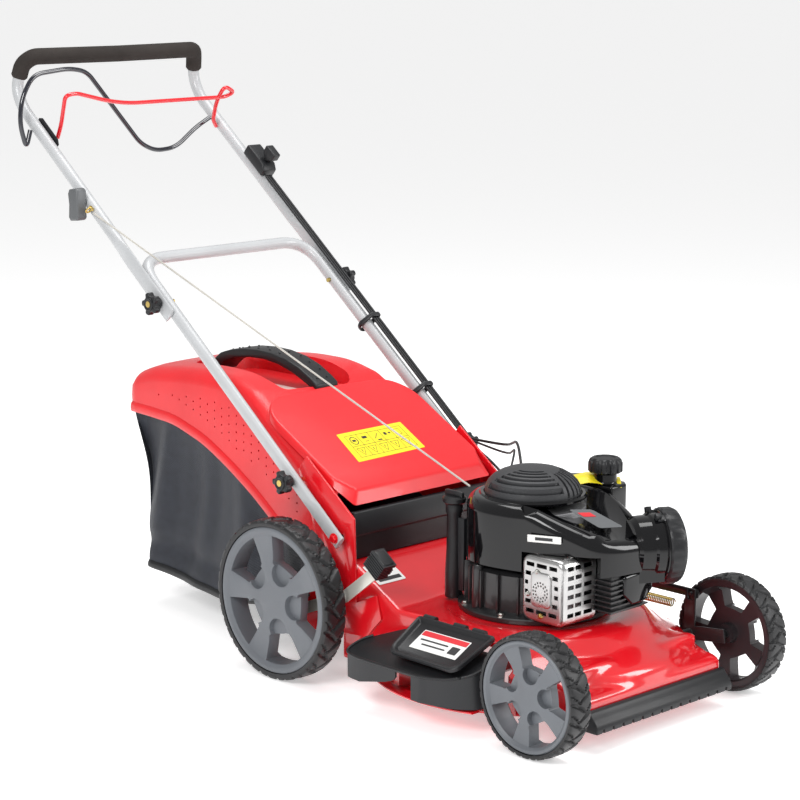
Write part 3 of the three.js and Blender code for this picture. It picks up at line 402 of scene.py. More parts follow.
# %% [markdown]
# Handle, bails, cables and rope are tubes along a path. Their corners are eased first, because a
# bent tube never turns sharply.

# %% Run a tube along a path
def eased(points, radius, steps=8):
    """The points of a polyline with its inner corners rounded by a curve."""
    v = [Vector(p) for p in points]
    out = [v[0]]
    for a, b, c in zip(v, v[1:], v[2:]):
        reach = min(radius, (a - b).length * 0.45, (c - b).length * 0.45)
        start, end = b + (a - b).normalized() * reach, b + (c - b).normalized() * reach
        for i in range(steps + 1):
            t = i / steps
            out.append(start * (1 - t) ** 2 + b * 2 * t * (1 - t) + end * t * t)
    return out + [v[-1]]


def piped(bm, points, radius, sides=16, cap=True, closed=False, up=(1, 0, 0), shape=None):
    """A tube made of rings set along the points and bridged; shape(i, t) scales a ring two ways."""
    pts = [Vector(p) for p in points]
    count = len(pts)
    rings = []
    frame_up = Vector(up)
    for i, p in enumerate(pts):
        before = pts[i - 1] if i > 0 or closed else pts[0]
        after = pts[(i + 1) % count] if i + 1 < count or closed else pts[-1]
        ahead = (after - before).normalized()
        side = ahead.cross(frame_up)
        if side.length < 1e-3:
            side = ahead.orthogonal()
        side.normalize()
        frame_up = side.cross(ahead).normalized()
        across, along_up = shape(i, i / max(1, count - 1)) if shape else (radius, radius)
        basis = Matrix((side * along_up, frame_up * across, ahead)).transposed().to_4x4()
        ring = bmesh.ops.create_circle(bm, segments=sides, radius=1, matrix=Matrix.Translation(p) @ basis)["verts"]
        rings.append(ring)
    for first, second in zip(rings, rings[1:] + ([rings[0]] if closed else [])):
        for k in range(sides):
            n = (k + 1) % sides
            bm.faces.new((first[k], first[n], second[n], second[k]))
    if cap and not closed:
        bm.faces.new(list(reversed(rings[0])))
        bm.faces.new(rings[-1])
    return rings


# %% [markdown]
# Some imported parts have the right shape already. They are copied, cleaned and given round edges.

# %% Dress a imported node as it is
node_body = {n: body for body, names in frame["record"]["behaviour"]["bodies"].items() for n in names}


def dress(node, name, body, finish, by=0.8, angle=30, segments=2, flat=1.0):
    """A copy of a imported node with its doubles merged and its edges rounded, in place of the node."""
    bm = bmesh.new()
    bm.from_mesh(frame["nodes"][node].data)
    bm.transform(TO_FRAME.inverted())
    bmesh.ops.remove_doubles(bm, verts=bm.verts, dist=0.01)
    bmesh.ops.dissolve_limit(bm, angle_limit=math.radians(flat), verts=bm.verts, edges=bm.edges)
    if by:
        soften(bm, by, angle, segments)
    return keep(bm, name, body, finish, [node], merge=0)


# %% [markdown]
# Windows, slots and seats are cut with a boolean. It runs on two holders that are thrown away, so
# that no live modifier is left on a finished piece.

# %% Cut one shape out of another
def carve(bm, cutter):
    """Takes the cutter bmesh out of the first one and gives back the result."""
    made = []
    for each in (bm, cutter):
        bmesh.ops.recalc_face_normals(each, faces=each.faces)
        mesh = bpy.data.meshes.new("carving")
        each.to_mesh(mesh)
        each.free()
        holder = bpy.data.objects.new("carving", mesh)
        scene.collection.objects.link(holder)
        made.append(holder)
    body, tool = made
    cut = body.modifiers.new("cut", "BOOLEAN")
    cut.operation, cut.solver, cut.object = "DIFFERENCE", "EXACT", tool
    bpy.context.view_layer.update()
    result = bmesh.new()
    result.from_mesh(body.evaluated_get(bpy.context.evaluated_depsgraph_get()).data)
    for holder in made:
        mesh = holder.data
        bpy.data.objects.remove(holder)
        bpy.data.meshes.remove(mesh)
    return result


# %% [markdown]
# ## Wheels
# A tyre is a band of hard rubber pressed on a moulded wheel. Its tread is a run of curved
# leaf-shaped grooves, one set from each shoulder. The band is spun from its section in many
# steps, and then the ring's points are pulled in where a groove runs.

# %% Shape one tyre
LEAVES = 20


def groove_depth(turn, across):
    """How deep the tread is cut, 0 to 1, at a turn in leaves and a place across from 0 to 1."""
    deepest = 0.0
    for hand, shift in ((0, 0.0), (1, 0.5)):
        u = across if hand == 0 else 1 - across
        for offset in (0.0, 0.46):
            t = (turn + shift + offset) % 1.0
            reach = 0.72 if offset == 0 else 0.40
            if not 0.0 <= u <= reach:
                continue
            line = 0.18 + 0.62 * (u / reach) ** 1.6
            half = (0.13 if offset == 0 else 0.07) * math.sin(math.pi * (0.12 + 0.88 * u / reach)) ** 0.7
            gap = abs((t - line + 0.5) % 1.0 - 0.5)
            deepest = max(deepest, min(1.0, max(0.0, (half - gap) / 0.05)))
    return deepest


def tyre(name, body, node, y, radius, inner, width, side, steps):
    bm = bmesh.new()
    rim = radius * 0.915
    section = [(rim, 3), (rim, 1), (rim + (radius - rim) * 0.45, 0), (radius - 4.5, 0.6), (radius - 1.6, 2.4)]
    rows = 13
    tread = [(radius - 0.9 * (2 * i / (rows - 1) - 1) ** 4, 4 + (width - 8) * i / (rows - 1)) for i in range(rows)]
    back = [(r, width - x) for r, x in reversed(section)]
    profile = [(r, side * (inner + x)) for r, x in section + tread + back]
    turned(bm, profile, (0, y, radius), "X", steps, closed=True)
    for v in bm.verts:
        arm = Vector((0, v.co.y - y, v.co.z - radius))
        reach = arm.length
        if reach < radius - 5.2:
            continue
        turn = math.atan2(arm.y, arm.z) / math.tau * LEAVES
        across = min(1, max(0, (abs(v.co.x) - inner) / width))
        deep = groove_depth(turn * side, across)
        v.co -= arm.normalized() * deep * min(4.2, max(0.0, (reach - (radius - 6)) * 1.2))
    return keep(bm, name, body, TYRE_BLACK, [node], sharp=32, merge=0.001, outward=True)


# %% [markdown]
# The wheel itself is one moulding: a broad rounded lip, five spokes that widen outwards, deep
# windows between them, and a shallow half-round pocket at the inner end of each window. The
# disc is turned from its section and the windows and pockets are cut through it.

# %% Shape one wheel
def sector(bm, y, z, mid, inner, outer, half, x0, x1):
    """A window cutter: a ring sector with rounded ends, as thick as x0 to x1."""
    outline = []
    for step in range(9):
        angle = mid - half + 2 * half * step / 8
        outline.append((outer, angle))
    for step in range(9):
        lean = math.pi * step / 8
        outline.append((inner + (outer - inner) * 0.10 * (1 - math.sin(lean)), mid + half * math.cos(lean) * 0.98))
    points = [(x0, y - r * math.sin(a), z + r * math.cos(a)) for r, a in outline]
    return slab(bm, points, (x1 - x0, 0, 0))


def wheel(name, body, node, y, radius, inner, width, side, phase):
    bm = bmesh.new()
    rim = radius * 0.915
    face = [
        (rim, 2.5), (rim, width - 5), (rim - 1.5, width - 2), (rim * 0.965, width - 0.8), (rim * 0.92, width - 1.6),
        (rim * 0.885, width - 4.5), (rim * 0.865, width - 6), (rim * 0.6, width - 7.5), (rim * 0.42, width - 5),
        (rim * 0.25, width - 4), (0, width - 3.6),
    ]
    hub = [(0, width - 9), (7, width - 9), (7, 4), (16, 4), (18, width * 0.34), (rim * 0.80, width * 0.34),
           (rim * 0.90, 2.5)]
    profile = [(r, side * (inner + x)) for r, x in hub + face]
    turned(bm, profile, (0, y, radius), "X", 80)
    cutter, pockets = bmesh.new(), bmesh.new()
    sides = sorted((side * (inner - 10), side * (inner + width + 10)))
    ledge = sorted((side * (inner + width - 15), side * (inner + width + 10)))
    for k in range(5):
        mid = math.radians(phase + 72 * k)
        sector(cutter, y, radius, mid, radius * 0.43, radius * 0.80, math.radians(23.6), *sides)
        spin = [(radius * 0.37 + radius * 0.145 * math.cos(t), radius * 0.155 * math.sin(t))
                for t in (math.tau * i / 24 for i in range(24))]
        outline = [(ledge[0], y - (a * math.sin(mid) + b * math.cos(mid)),
                    radius + a * math.cos(mid) - b * math.sin(mid))
                   for a, b in spin]
        slab(pockets, outline, (ledge[1] - ledge[0], 0, 0))
    bm = carve(carve(bm, pockets), cutter)
    bmesh.ops.dissolve_limit(bm, angle_limit=math.radians(0.5), verts=bm.verts, edges=bm.edges)
    soften(bm, 0.8, 40, 2)
    # Faces that point in towards the mower and the deep back of the disc take the dark plastic. On the far (left)
    # wheels the dark plastic also covers the spokes and window walls over most of the wheel's depth: painted shade for
    # that side of the mower.
    for f in bm.faces:
        middle = f.calc_center_median()
        depth = abs(middle.x) - inner
        away = math.hypot(middle.y - y, middle.z - radius)
        faces_in = f.normal.x * side < -0.3
        f.material_index = 1 if faces_in or (depth < width * 0.36 and away < rim * 0.95) or (
            side > 0 and depth < width * 0.7 and away < rim * 0.9) else 0
    return keep(bm, name, body, [RIM_GREY, RIM_DARK_AND_SHADE], [node], sharp=30)


# %% [markdown]
# The rear wheels are larger than the front ones, but both are made the same way.

# %% Fit four wheels
for end, y, radius, inner, width, phase, steps in (
    ("rear", REAR_Y, REAR_RADIUS, REAR_INNER, REAR_WIDTH, 22, 440),
    ("front", FRONT_Y, FRONT_RADIUS, FRONT_INNER, FRONT_WIDTH, 9, 380),
):
    for hand, side in (("right", -1), ("left", 1)):
        rides = f"{end}_wheel_{hand}"
        tyre(f"{end}_tread_{hand}", rides, f"{end}_tyre_{hand}", y, radius, inner, width, side, steps)
        made = wheel(f"{end}_spokes_{hand}", rides, f"{end}_rim_{hand}", y, radius, inner, width, side, phase)
        print(made.name, len(made.data.polygons), "faces")

# %% [markdown]
# ## Engine
# The cowl is one glossy black moulding. Its plan is a smooth loop, pushed up to its full height;
# its top slopes down towards the air filter, and its top edge is well rounded. The places for
# the silencer guard, the filter and the fan are cut out of it.

# %% Draw a smooth loop through points
def looped(points, per=5):
    """A closed smooth curve through flat points, with that many steps to each."""
    out = []
    n = len(points)
    for i in range(n):
        a, b, c, d = (Vector(points[(i + k - 1) % n]) for k in range(4))
        for s in range(per):
            t = s / per
            out.append(0.5 * (2 * b + (c - a) * t + (2 * a - 5 * b + 4 * c - d) * t * t
                              + (3 * b - a - 3 * c + d) * t ** 3))
    return out


SPINDLE_Y = -72
COWL_LOW, COWL_TOP = 238.3, 345
COWL_SLOPE, SLOPE_START = 0.42, SPINDLE_Y - 70
FAN = (-4, -68)
COWL_PLAN = [
    (-115, -72), (-111, -30), (-92, 0), (-58, 28), (-18, 42), (30, 42), (72, 22), (100, -14), (114, -60),
    (112, -140), (100, -205), (80, -262), (33, -268), (-38, -252), (-66, -215), (-100, -140),
]


def slope_at(y):
    """Height of the cowl's sloping top at a place along the mower."""
    return COWL_TOP - max(0, SLOPE_START - y) * COWL_SLOPE


def filter_turn():
    """Places a piece drawn round X as the axis of the air filter."""
    return Matrix.Translation((118, -261, 268)) @ Matrix.Rotation(math.radians(-30), 4, "Z")


bm = bmesh.new()
plan = looped(COWL_PLAN, 5)
slab(bm, [(p.x, p.y, COWL_LOW) for p in plan], (0, 0, COWL_TOP - COWL_LOW))
for v in bm.verts:
    if v.co.z > 300:
        v.co.z = slope_at(v.co.y)
rim = [e for e in bm.edges if min(v.co.z for v in e.verts) > 260 and e.calc_face_angle(0) > 0.8]
round_edges(bm, rim, 20, 6, clamp=False)
cutter = bmesh.new()
block(cutter, (-130, -250, 100), (-22, -133, 272.5))
block(cutter, (-67, -45, -51), (-17, 45, 47))
bmesh.ops.transform(cutter, matrix=filter_turn(), verts=list(cutter.verts)[8:])
seat = bmesh.new()
turned(seat, [(0, 339), (78, 339), (82, 345), (87, 352), (0, 352)], (*FAN, 0), steps=64)
bm = carve(carve(bm, cutter), seat)
keep(bm, "cowl_moulding", "deck", COWL_BLACK, ["engine_cowl"], sharp=32)

# %% [markdown]
# A raised rim runs round the seat of the fan screen. It is a closed ring section, spun once.

# %% Add the rim round the screen
bm = bmesh.new()
turned(bm, [(81.5, 341), (90, 341), (91, 344.5), (88, 347.5), (83, 347.5), (81.5, 345)], (*FAN, 0),
       steps=72, closed=True)
keep(bm, "cowl_screen_rim", "deck", COWL_BLACK, outward=True)

# %% [markdown]
# The fan screen is a dull dark dome. Long slots follow its near side in arcs, and short ones
# stand along the other side like spokes. Both are cut right through its wall.

# %% Make the fan screen
bm = bmesh.new()
dome = [(81, 345.3), (81, 351), (79.5, 358), (75, 366), (67, 374), (56, 380.5), (43, 385.5), (28, 388.6), (14, 389.8),
        (0, 390.2)]
inside = [(r * 0.96, h - 3.4) for r, h in reversed(dome)]
turned(bm, dome + inside, (*FAN, 0), steps=96)
cutter = bmesh.new()


def arc_slot(bm, r, half, start, end, z0, z1, steps=18):
    """A slot cutter that follows a circle round the fan, with angles in degrees."""
    outer, inner = [], []
    for i in range(steps + 1):
        t = math.radians(start + (end - start) * i / steps)
        outer.append((FAN[0] + (r + half) * math.cos(t), FAN[1] + (r + half) * math.sin(t), z0))
        inner.append((FAN[0] + (r - half) * math.cos(t), FAN[1] + (r - half) * math.sin(t), z0))
    slab(bm, outer + list(reversed(inner)), (0, 0, z1 - z0))


for row, r in enumerate((77, 68.5, 60, 51.5, 43, 34.5)):
    arc_slot(cutter, r, 2.6, 152 + 5 * row, 262 - 2 * row, 349, 400)
for k in range(15):
    t = math.radians(269 + 9.2 * k)
    lie = Matrix.Translation((*FAN, 374)) @ Matrix.Rotation(t, 4, "Z") @ Matrix.Translation((66 - k * 0.5, 0, 0))
    bmesh.ops.create_cube(cutter, size=1, matrix=lie @ Matrix.Diagonal((40, 5.0, 50, 1)))
bm = carve(bm, cutter)
soften(bm, 0.6, 50, 1)
keep(bm, "fan_screen", "deck", DOME_GREY, ["fan_grille"], sharp=30)

# %% [markdown]
# The crankcase is cast metal painted black: a bolted base flange, a round body with ribs, and
# the cylinder head at the front under the cowl.

# %% Make the crankcase
bm = bmesh.new()
body = [(0, 238), (96, 237), (112, 226), (113, 166), (118, 163), (128, 160), (129.5, 158), (129.5, 151),
        (128, 150.3), (0, 150.3)]
turned(bm, list(reversed(body)), (0, SPINDLE_Y, 0), steps=72)
for k in range(14):
    t = math.radians(100 + 18 * k)
    lie = Matrix.Translation((0, SPINDLE_Y, 195)) @ Matrix.Rotation(t, 4, "Z") @ Matrix.Translation((112, 0, 0))
    bmesh.ops.create_cube(bm, size=1, matrix=lie @ Matrix.Diagonal((14, 4, 66, 1)))
for k in range(6):
    t = math.radians(165 + 60 * k)
    turned(bm, [(0, 236), (9, 236), (10, 226), (11, 160), (0, 160)][::-1],
           (112 * math.cos(t), SPINDLE_Y + 112 * math.sin(t), 0), steps=20)
block(bm, (-20, -256, 174), (62, -120, 237))
for k in range(7):
    block(bm, (-28, -262, 178 + 8.4 * k), (68, -130, 181 + 8.4 * k))
soften(bm, 1.2, 60, 2)
keep(bm, "crankcase_casting", "deck", FRAME_BLACK, ["engine_block"], sharp=34, merge=0)

# %% [markdown]
# Eight bolts with washers hold the flange. Six turning steps give each one its hexagon head.

# %% Bolt the flange down
bm = bmesh.new()
for k in range(8):
    t = math.radians(150 + 45 * k)
    x, y = 122 * math.cos(t), SPINDLE_Y + 122 * math.sin(t)
    turned(bm, [(0, 166), (4, 165.6), (5.4, 164), (5.6, 160.5), (8, 160), (8, 159), (0, 159)][::-1], (x, y, 0), steps=6)
keep(bm, "flange_bolts", "deck", ZINC, sharp=30, merge=0)

# %% [markdown]
# The silencer sits in a guard of bright pressed steel: a rounded box with rows of slots, and on
# its near face a raised plate with a ring of small holes and two screws.

# %% Press the guard
GUARD_LOW, GUARD_HIGH = Vector((-104, -226, 160)), Vector((-24, -134, 271))
bm = bmesh.new()
block(bm, GUARD_LOW, GUARD_HIGH)
along_x = [e for e in bm.edges if abs(e.verts[0].co.x - e.verts[1].co.x) > 1]
round_edges(bm, along_x, 16, 6)
near = [e for e in bm.edges if max(v.co.x for v in e.verts) < -103.9]
round_edges(bm, near, 8, 5)
hollow = bmesh.new()
block(hollow, GUARD_LOW + Vector((2.2, 2.2, 2.2)), GUARD_HIGH + Vector((9, -2.2, -2.2)))
edges = [e for e in hollow.edges if abs(e.verts[0].co.x - e.verts[1].co.x) > 1]
round_edges(hollow, edges, 14, 5)
cutter = bmesh.new()
for row in range(6):
    z = 176 + 15.6 * row
    for x0, x1 in ((-93, -78), (-74.5, -59), (-53, -32)):
        block(cutter, (x0, -232, z), (x1, -219, z + 7.2))
    if row in (0, 5):
        spans = ((-146, -163), (-168, -190), (-195, -212))
    elif row in (1, 4):
        spans = ((-144, -156), (-202, -214))
    else:
        spans = ((-143, -150), (-206, -215))
    for y0, y1 in spans:
        block(cutter, (-110, y1, z - 1), (-99, y0, z + 6))
for k in range(6):
    block(cutter, (-92 + 10.6 * k, -165, 264), (-86 + 10.6 * k, -142, 276))
for k in range(4):
    block(cutter, (-90 + 15 * k, -212, 264), (-80 + 15 * k, -204, 276))
bm = carve(carve(bm, hollow), cutter)
soften(bm, 0.5, 50, 1)
keep(bm, "silencer_guard", "deck", BRIGHT_STEEL, ["muffler_guard"], sharp=34)

# %% [markdown]
# The raised plate on the guard has soft edges and two rings of small round holes.

# %% Raise the plate with its ring of holes
bm = bmesh.new()
block(bm, (-107, -200, 188), (-99, -158, 246))
edges = [e for e in bm.edges if abs(e.verts[0].co.x - e.verts[1].co.x) > 1]
round_edges(bm, edges, 9, 5)
soften(bm, 1.6, 60, 3, only=lambda e: max(v.co.x for v in e.verts) < -106)
holes = bmesh.new()
for ring, count in ((15.5, 16), (10.5, 11)):
    for k in range(count):
        t = math.tau * k / count
        turned(holes, [(0, -112), (1.9, -112), (1.9, -95), (0, -95)],
               (0, -179 + ring * math.cos(t), 214 + ring * math.sin(t)), "X", steps=8)
bm = carve(bm, holes)
keep(bm, "silencer_plate", "deck", BRIGHT_STEEL, sharp=30)

# %% [markdown]
# A plain cast box stands for the silencer, so that the slots do not look into an empty guard.

# %% Put the silencer and its screws inside
bm = bmesh.new()
block(bm, (-94, -214, 172), (-40, -144, 250))
soften(bm, 6, 40, 4)
keep(bm, "silencer_box", "deck", CAST_ALLOY, sharp=30)
for name, finish, y, z, r in (("guard_screw_low", BRASS, -178, 173, 4.6), ("guard_screw_side", ZINC, -150, 206, 4.2),
                              ("guard_screw_top", ZINC, -170, 246, 4.0)):
    bm = bmesh.new()
    turned(bm, [(0, -108.4), (r * 0.6, -108.2), (r, -106.4), (r * 1.15, -104.6), (r * 1.15, -103), (0, -103)],
           (0, y, z), "X", steps=16)
    keep(bm, name, "deck", finish, sharp=30, outward=True)

# %% [markdown]
# The air filter is a round can laid on its side at the front corner, closed by a deep ribbed
# cover and held by two clips.

# %% Make the filter can, its cover and its clips
def laid_on_filter(profile, steps=56):
    """A profile turned round the filter's own axis."""
    bm = bmesh.new()
    turned(bm, profile, (0, 0, 0), "X", steps)
    return bm


bm = laid_on_filter([(0, -70), (46, -70), (52, -62), (53, -40), (56, -36), (56, -22), (60, -20), (60, -17.6),
                     (0, -17.6)])
block(bm, (-66, -44, -50), (-22, 44, 20))
bm.transform(filter_turn())
keep(bm, "filter_can", "deck", COWL_BLACK, ["air_filter_base"], sharp=34, outward=True)
bm = laid_on_filter([(0, -17), (61, -17), (64, -14), (64, 4), (61, 10), (54, 14), (40, 14.6), (38, 12.6), (30, 12.4),
                     (28, 15), (0, 15)], 90)
for v in bm.verts:
    away = math.hypot(v.co.y, v.co.z)
    if away > 63 and int(math.atan2(v.co.y, v.co.z) / math.tau * 45 + 45) % 2:
        v.co.y, v.co.z = v.co.y * 0.982, v.co.z * 0.982
bm.transform(filter_turn())
keep(bm, "filter_cover", "deck", BLACK_PLASTIC, ["air_filter_cover"], sharp=34, outward=True)
bm = bmesh.new()
for lean in (-22, 24):
    start = len(bm.verts)
    block(bm, (-30, -7, 54), (6, 7, 60))
    block(bm, (-34, -5, 56), (-24, 5, 66))
    bm.verts.ensure_lookup_table()
    bmesh.ops.rotate(bm, verts=bm.verts[start:], cent=(0, 0, 0), matrix=Matrix.Rotation(math.radians(lean), 3, "X"))
soften(bm, 1.2, 40, 2)
bm.transform(filter_turn())
keep(bm, "filter_clips", "deck", BLACK_PLASTIC, sharp=34)

# %% [markdown]
# The fuel cap has deep ribs for the fingers, and a plain yellow card hangs round the neck below
# it. The dipstick has a flat wing on its cap.

# %% Make the tank, the fuel cap and the yellow card
dress("fuel_tank", "fuel_tank_moulding", "deck", COWL_BLACK, 7, 30, 4)
bm = bmesh.new()
cap = [(0, 364.3), (28, 364.3), (29.5, 366), (29.5, 380), (27, 386), (23, 388.8), (18, 389.2), (16.5, 387.6),
       (0, 387.6)]
turned(bm, cap, (139, -104, 0), steps=96)
for v in bm.verts:
    arm = v.co - Vector((139, -104, v.co.z))
    if arm.length > 26 and int(math.atan2(arm.y, arm.x) / math.tau * 24 + 24.25) % 2:
        v.co -= arm.normalized() * 2.2
keep(bm, "fuel_cap_ribbed", "fuel_cap", BLACK_PLASTIC, ["fuel_cap"], sharp=40, outward=True)
bm = bmesh.new()
card = bmesh.ops.create_grid(bm, x_segments=16, y_segments=6, size=1,
                             matrix=Matrix.Translation((118, -82, 359)) @ Matrix.Rotation(math.radians(-45), 4, "Z")
                             @ Matrix.Diagonal((57, 21, 1, 1)))["verts"]
for v in card:
    local = Matrix.Rotation(math.radians(45), 3, "Z") @ (v.co - Vector((118, -82, 359)))
    v.co.z += -3 + 2.5 * math.sin(local.x * 0.07 + 1) - max(0, -local.y) * 0.42 - abs(local.x) * 0.07
bmesh.ops.solidify(bm, geom=list(bm.faces), thickness=0.6)
keep(bm, "fuel_card", "deck", LABEL_YELLOW, sharp=50)

# %% [markdown]
# The oil tube stands beside the cowl. Its cap is turned, and a wing across it gives a grip.

# %% Make the dipstick and its tube
bm = bmesh.new()
tube = [(0, 156), (15, 156), (15, 200), (13, 240), (13, 300), (15, 304), (15, 317.8), (0, 317.8)]
turned(bm, tube, (-74, 46, 0), steps=32)
block(bm, (-78, 20, 170), (-70, 46, 296))
soften(bm, 1, 60, 2)
keep(bm, "oil_tube", "deck", BLACK_PLASTIC, ["dipstick_tube"], sharp=34, merge=0)
bm = bmesh.new()
turned(bm, [(0, 318.4), (17, 318.4), (20, 321), (20.5, 328), (18, 331), (0, 331)], (-74, 46, 0), steps=40)
block(bm, (-78, 26, 329), (-70, 66, 340))
soften(bm, 2.2, 60, 3)
keep(bm, "dipstick_wing", "dipstick", BLACK_PLASTIC, ["dipstick_cap"], sharp=34, merge=0)

# %% [markdown]
# Low on the front of the engine a small cover hides the carburettor. Plain stickers stand where
# the real engine has its plates.

# %% Cover the carburettor
bm = bmesh.new()
outline = [(2, 236), (76, 240), (76, 204), (52, 184), (24, 184), (2, 204)]
slab(bm, [(x, -266, z) for x, z in outline], (0, 26, 0))
soften(bm, 5, 40, 3)
keep(bm, "carburettor_cover", "deck", COWL_BLACK, sharp=34)

# %% [markdown]
# The labels are thin rounded plates. They carry plain bars and no words.

# %% Stick on the plain labels
def plate(name, corners, finish, lift, body="deck", round_by=3.0):
    """A thin sticker with rounded corners over four points, lifted along its own normal."""
    pts = [Vector(c) for c in corners]
    normal = (pts[1] - pts[0]).cross(pts[3] - pts[0]).normalized()
    bm = bmesh.new()
    slab(bm, [p + normal * lift for p in pts], normal * 0.4)
    edges = [e for e in bm.edges if abs((e.verts[0].co - e.verts[1].co).normalized().dot(normal)) > 0.9]
    round_edges(bm, edges, round_by, 4)
    return keep(bm, name, body, finish, sharp=30)


def on_slope(x, y, lift=0.6):
    """A point a little above the cowl's sloping top."""
    return Vector((x, y, slope_at(y) + lift))


plate("engine_panel", [on_slope(18, -178), on_slope(-26, -166), on_slope(-12, -222), on_slope(36, -232)],
      LEVER_GREY, 0.2, round_by=5)
plate("flank_label", [(-102.8, -147, 293), (-78, -198, 293), (-78, -198, 305), (-102.8, -147, 305)],
      LABEL_WHITE, 3.2, round_by=1)
plate("flank_label_ink", [(-97, -158.5, 296.4), (-84, -185, 296.4), (-84, -185, 301.6), (-97, -158.5, 301.6)],
      LABEL_INK, 3.7, round_by=0.5)
plate("engine_panel_bar", [on_slope(6, -184), on_slope(-18, -178), on_slope(-15, -190), on_slope(9, -196)],
      LABEL_RED, 0.8, round_by=1)

# %% [markdown]
# ## Grass catcher
# The catcher is a moulded red lid over a bag of woven mesh. The lid is drawn as a row of
# arches from front to back, closed into a solid, with a well cut in its top for the hand.
# Then its underside is opened and the skin is given the thickness of the moulding.

# %% Draw the lid's arches
LID = [
    (226, 183, 150, 330), (320, 182, 200, 381), (424, 170, 262, 436), (440, 168, 272, 460), (520, 160, 312, 482),
    (602, 151, 345, 484), (700, 141, 367, 476), (800, 130, 369, 462), (846, 126, 369, 440),
]


def lid_at(y):
    """Half width, lower edge and top of the lid at a distance along the mower."""
    y = min(max(y, LID[0][0]), LID[-1][0])
    k = next(i for i in range(len(LID) - 1) if y <= LID[i + 1][0])
    a, b = LID[k], LID[k + 1]
    t = (y - a[0]) / (b[0] - a[0])
    return [a[j] + (b[j] - a[j]) * t for j in (1, 2, 3)]


def lid_eased(y):
    """The same, averaged over a short length so that the stations don't show."""
    spread = [lid_at(y + d) for d in (-24, -12, 0, 12, 24)]
    return [sum(s[j] for s in spread) / len(spread) for j in range(3)]


def lid_arch(y):
    """The lid's outline across the mower, from its near lower edge over the top to the far one."""
    half, low, top = lid_eased(y)
    side = [(-half, low), (-half + 0.5, low + 10), (-half - 1, (low + top) / 2 - 10), (-half, top - 34)]
    shoulder = []
    for i in range(1, 7):
        t = math.pi / 2 * i / 6
        shoulder.append((-half + 30 * (1 - math.cos(t)), top - 34 + 30 * math.sin(t)))
    crown = [(-half * f, top - 4 + 4 * (1 - f * f)) for f in (0.62, 0.4, 0.2)]
    arch = side + shoulder + crown
    return arch + [(0, top)] + [(-x, z) for x, z in reversed(arch)]


bm = bmesh.new()
stations = [226 + 8 * i for i in range(76)] + [832, 838, 842, 846]
rings = []
for y in stations:
    drop = max(0, y - 826) ** 2 * 0.012
    pull = 1 - max(0, y - 826) ** 2 * 0.00012
    rings.append([bm.verts.new((x * pull, y, z - (drop if z > 420 else 0))) for x, z in lid_arch(y)])
for first, second in zip(rings, rings[1:]):
    for k in range(len(first)):
        n = (k + 1) % len(first)
        bm.faces.new((first[k], second[k], second[n], first[n]))
bm.faces.new(rings[0])
bm.faces.new(list(reversed(rings[-1])))
well = bmesh.new()
slab(well, [(-92, 452, 444), (60, 440, 444), (76, 470, 444), (70, 690, 444), (50, 712, 444), (-60, 712, 444),
            (-84, 690, 444)],
     (0, 0, 60))
for v in well.verts:
    if v.co.z > 480:
        v.co.x *= 1.16
        v.co.y += 12 if v.co.y > 600 else -6
edges = [e for e in well.edges if max(v.co.z for v in e.verts) > 480 and min(v.co.z for v in e.verts) < 460]
round_edges(well, edges, 22, 5)
bm = carve(bm, well)
bmesh.ops.dissolve_degenerate(bm, dist=0.01, edges=bm.edges)
under = [f for f in bm.faces if abs(f.calc_center_median().y - 226) < 0.5
         or f.normal.z < -0.3 and abs(f.calc_center_median().x) < 100 and f.calc_center_median().z < 400]
bmesh.ops.delete(bm, geom=under, context="FACES")
bmesh.ops.solidify(bm, geom=list(bm.faces), thickness=2.4)
holes = bmesh.new()
for column in range(24):
    y = 838 - column * 22.5
    half, low, top = lid_eased(y)
    for row in range(5):
        z = top - 56 - row * 15 - (7 if column % 2 else 0)
        if z < low + 42 or (column > 17 and row > 3):
            continue
        turned(holes, [(0, -200), (1.9, -200), (1.9, 200), (0, 200)], (0, y, z), "X", steps=6)
bm = carve(bm, holes)
keep(bm, "catcher_hood", "catcher", LID_RED, ["catcher_lid"], sharp=40)

# %% [markdown]
# A bead runs round the lower edge of the lid, where the bag is clipped on.

# %% Run the bead round the lid's lower edge
bm = bmesh.new()
edge_line = []
for i in range(40):
    y = 232 + (838 - 232) * i / 39
    half, low, top = lid_eased(y)
    edge_line.append((-half - 0.6, y, low + 8))
half, low, top = lid_eased(846)
edge_line += [(-half * 0.93, 847.5, low + 8), (-half * 0.5, 849, low + 8), (0, 849.5, low + 8)]
edge_line += [(-x, y, z) for x, y, z in reversed(edge_line[:-1])]
piped(bm, edge_line, 4, sides=10, up=(0, 0, 1), shape=lambda i, t: (9.5, 3.0))
keep(bm, "catcher_bead", "catcher", LID_RED, sharp=50, outward=True)

# %% [markdown]
# The carrying handle is a broad arch with two rows of dimples for grip.

# %% Bend the carrying handle
bm = bmesh.new()
arch_top = [(716, 474), (700, 486), (672, 495), (640, 501), (600, 504), (560, 503), (520, 497), (484, 486),
            (452, 470), (436, 460)]
arch_low = [(436, 444), (462, 457), (500, 473), (540, 484), (580, 488.5), (620, 487), (660, 481), (690, 470),
            (706, 458), (716, 448)]
slab(bm, [(-27, y, z) for y, z in arch_top + arch_low], (54, 0, 0))
soften(bm, 3, 50, 3)
for i in range(11):
    t = 0.10 + 0.80 * i / 10
    at = t * (len(arch_top) - 1)
    k = int(at)
    (y0, z0), (y1, z1) = arch_top[k], arch_top[min(k + 1, len(arch_top) - 1)]
    y, z = y0 + (y1 - y0) * (at - k), z0 + (z1 - z0) * (at - k)
    for x in (-12, 12):
        bmesh.ops.create_icosphere(bm, subdivisions=1, radius=2.4,
                                   matrix=Matrix.Translation((x + (i % 2) * 3, y, z + 0.2)))
keep(bm, "catcher_arch", "catcher", BLACK_PLASTIC, ["catcher_handle"], sharp=40, merge=0)

# %% [markdown]
# A thin pink flap in the well lifts while air blows into the bag, and falls when the bag is full.

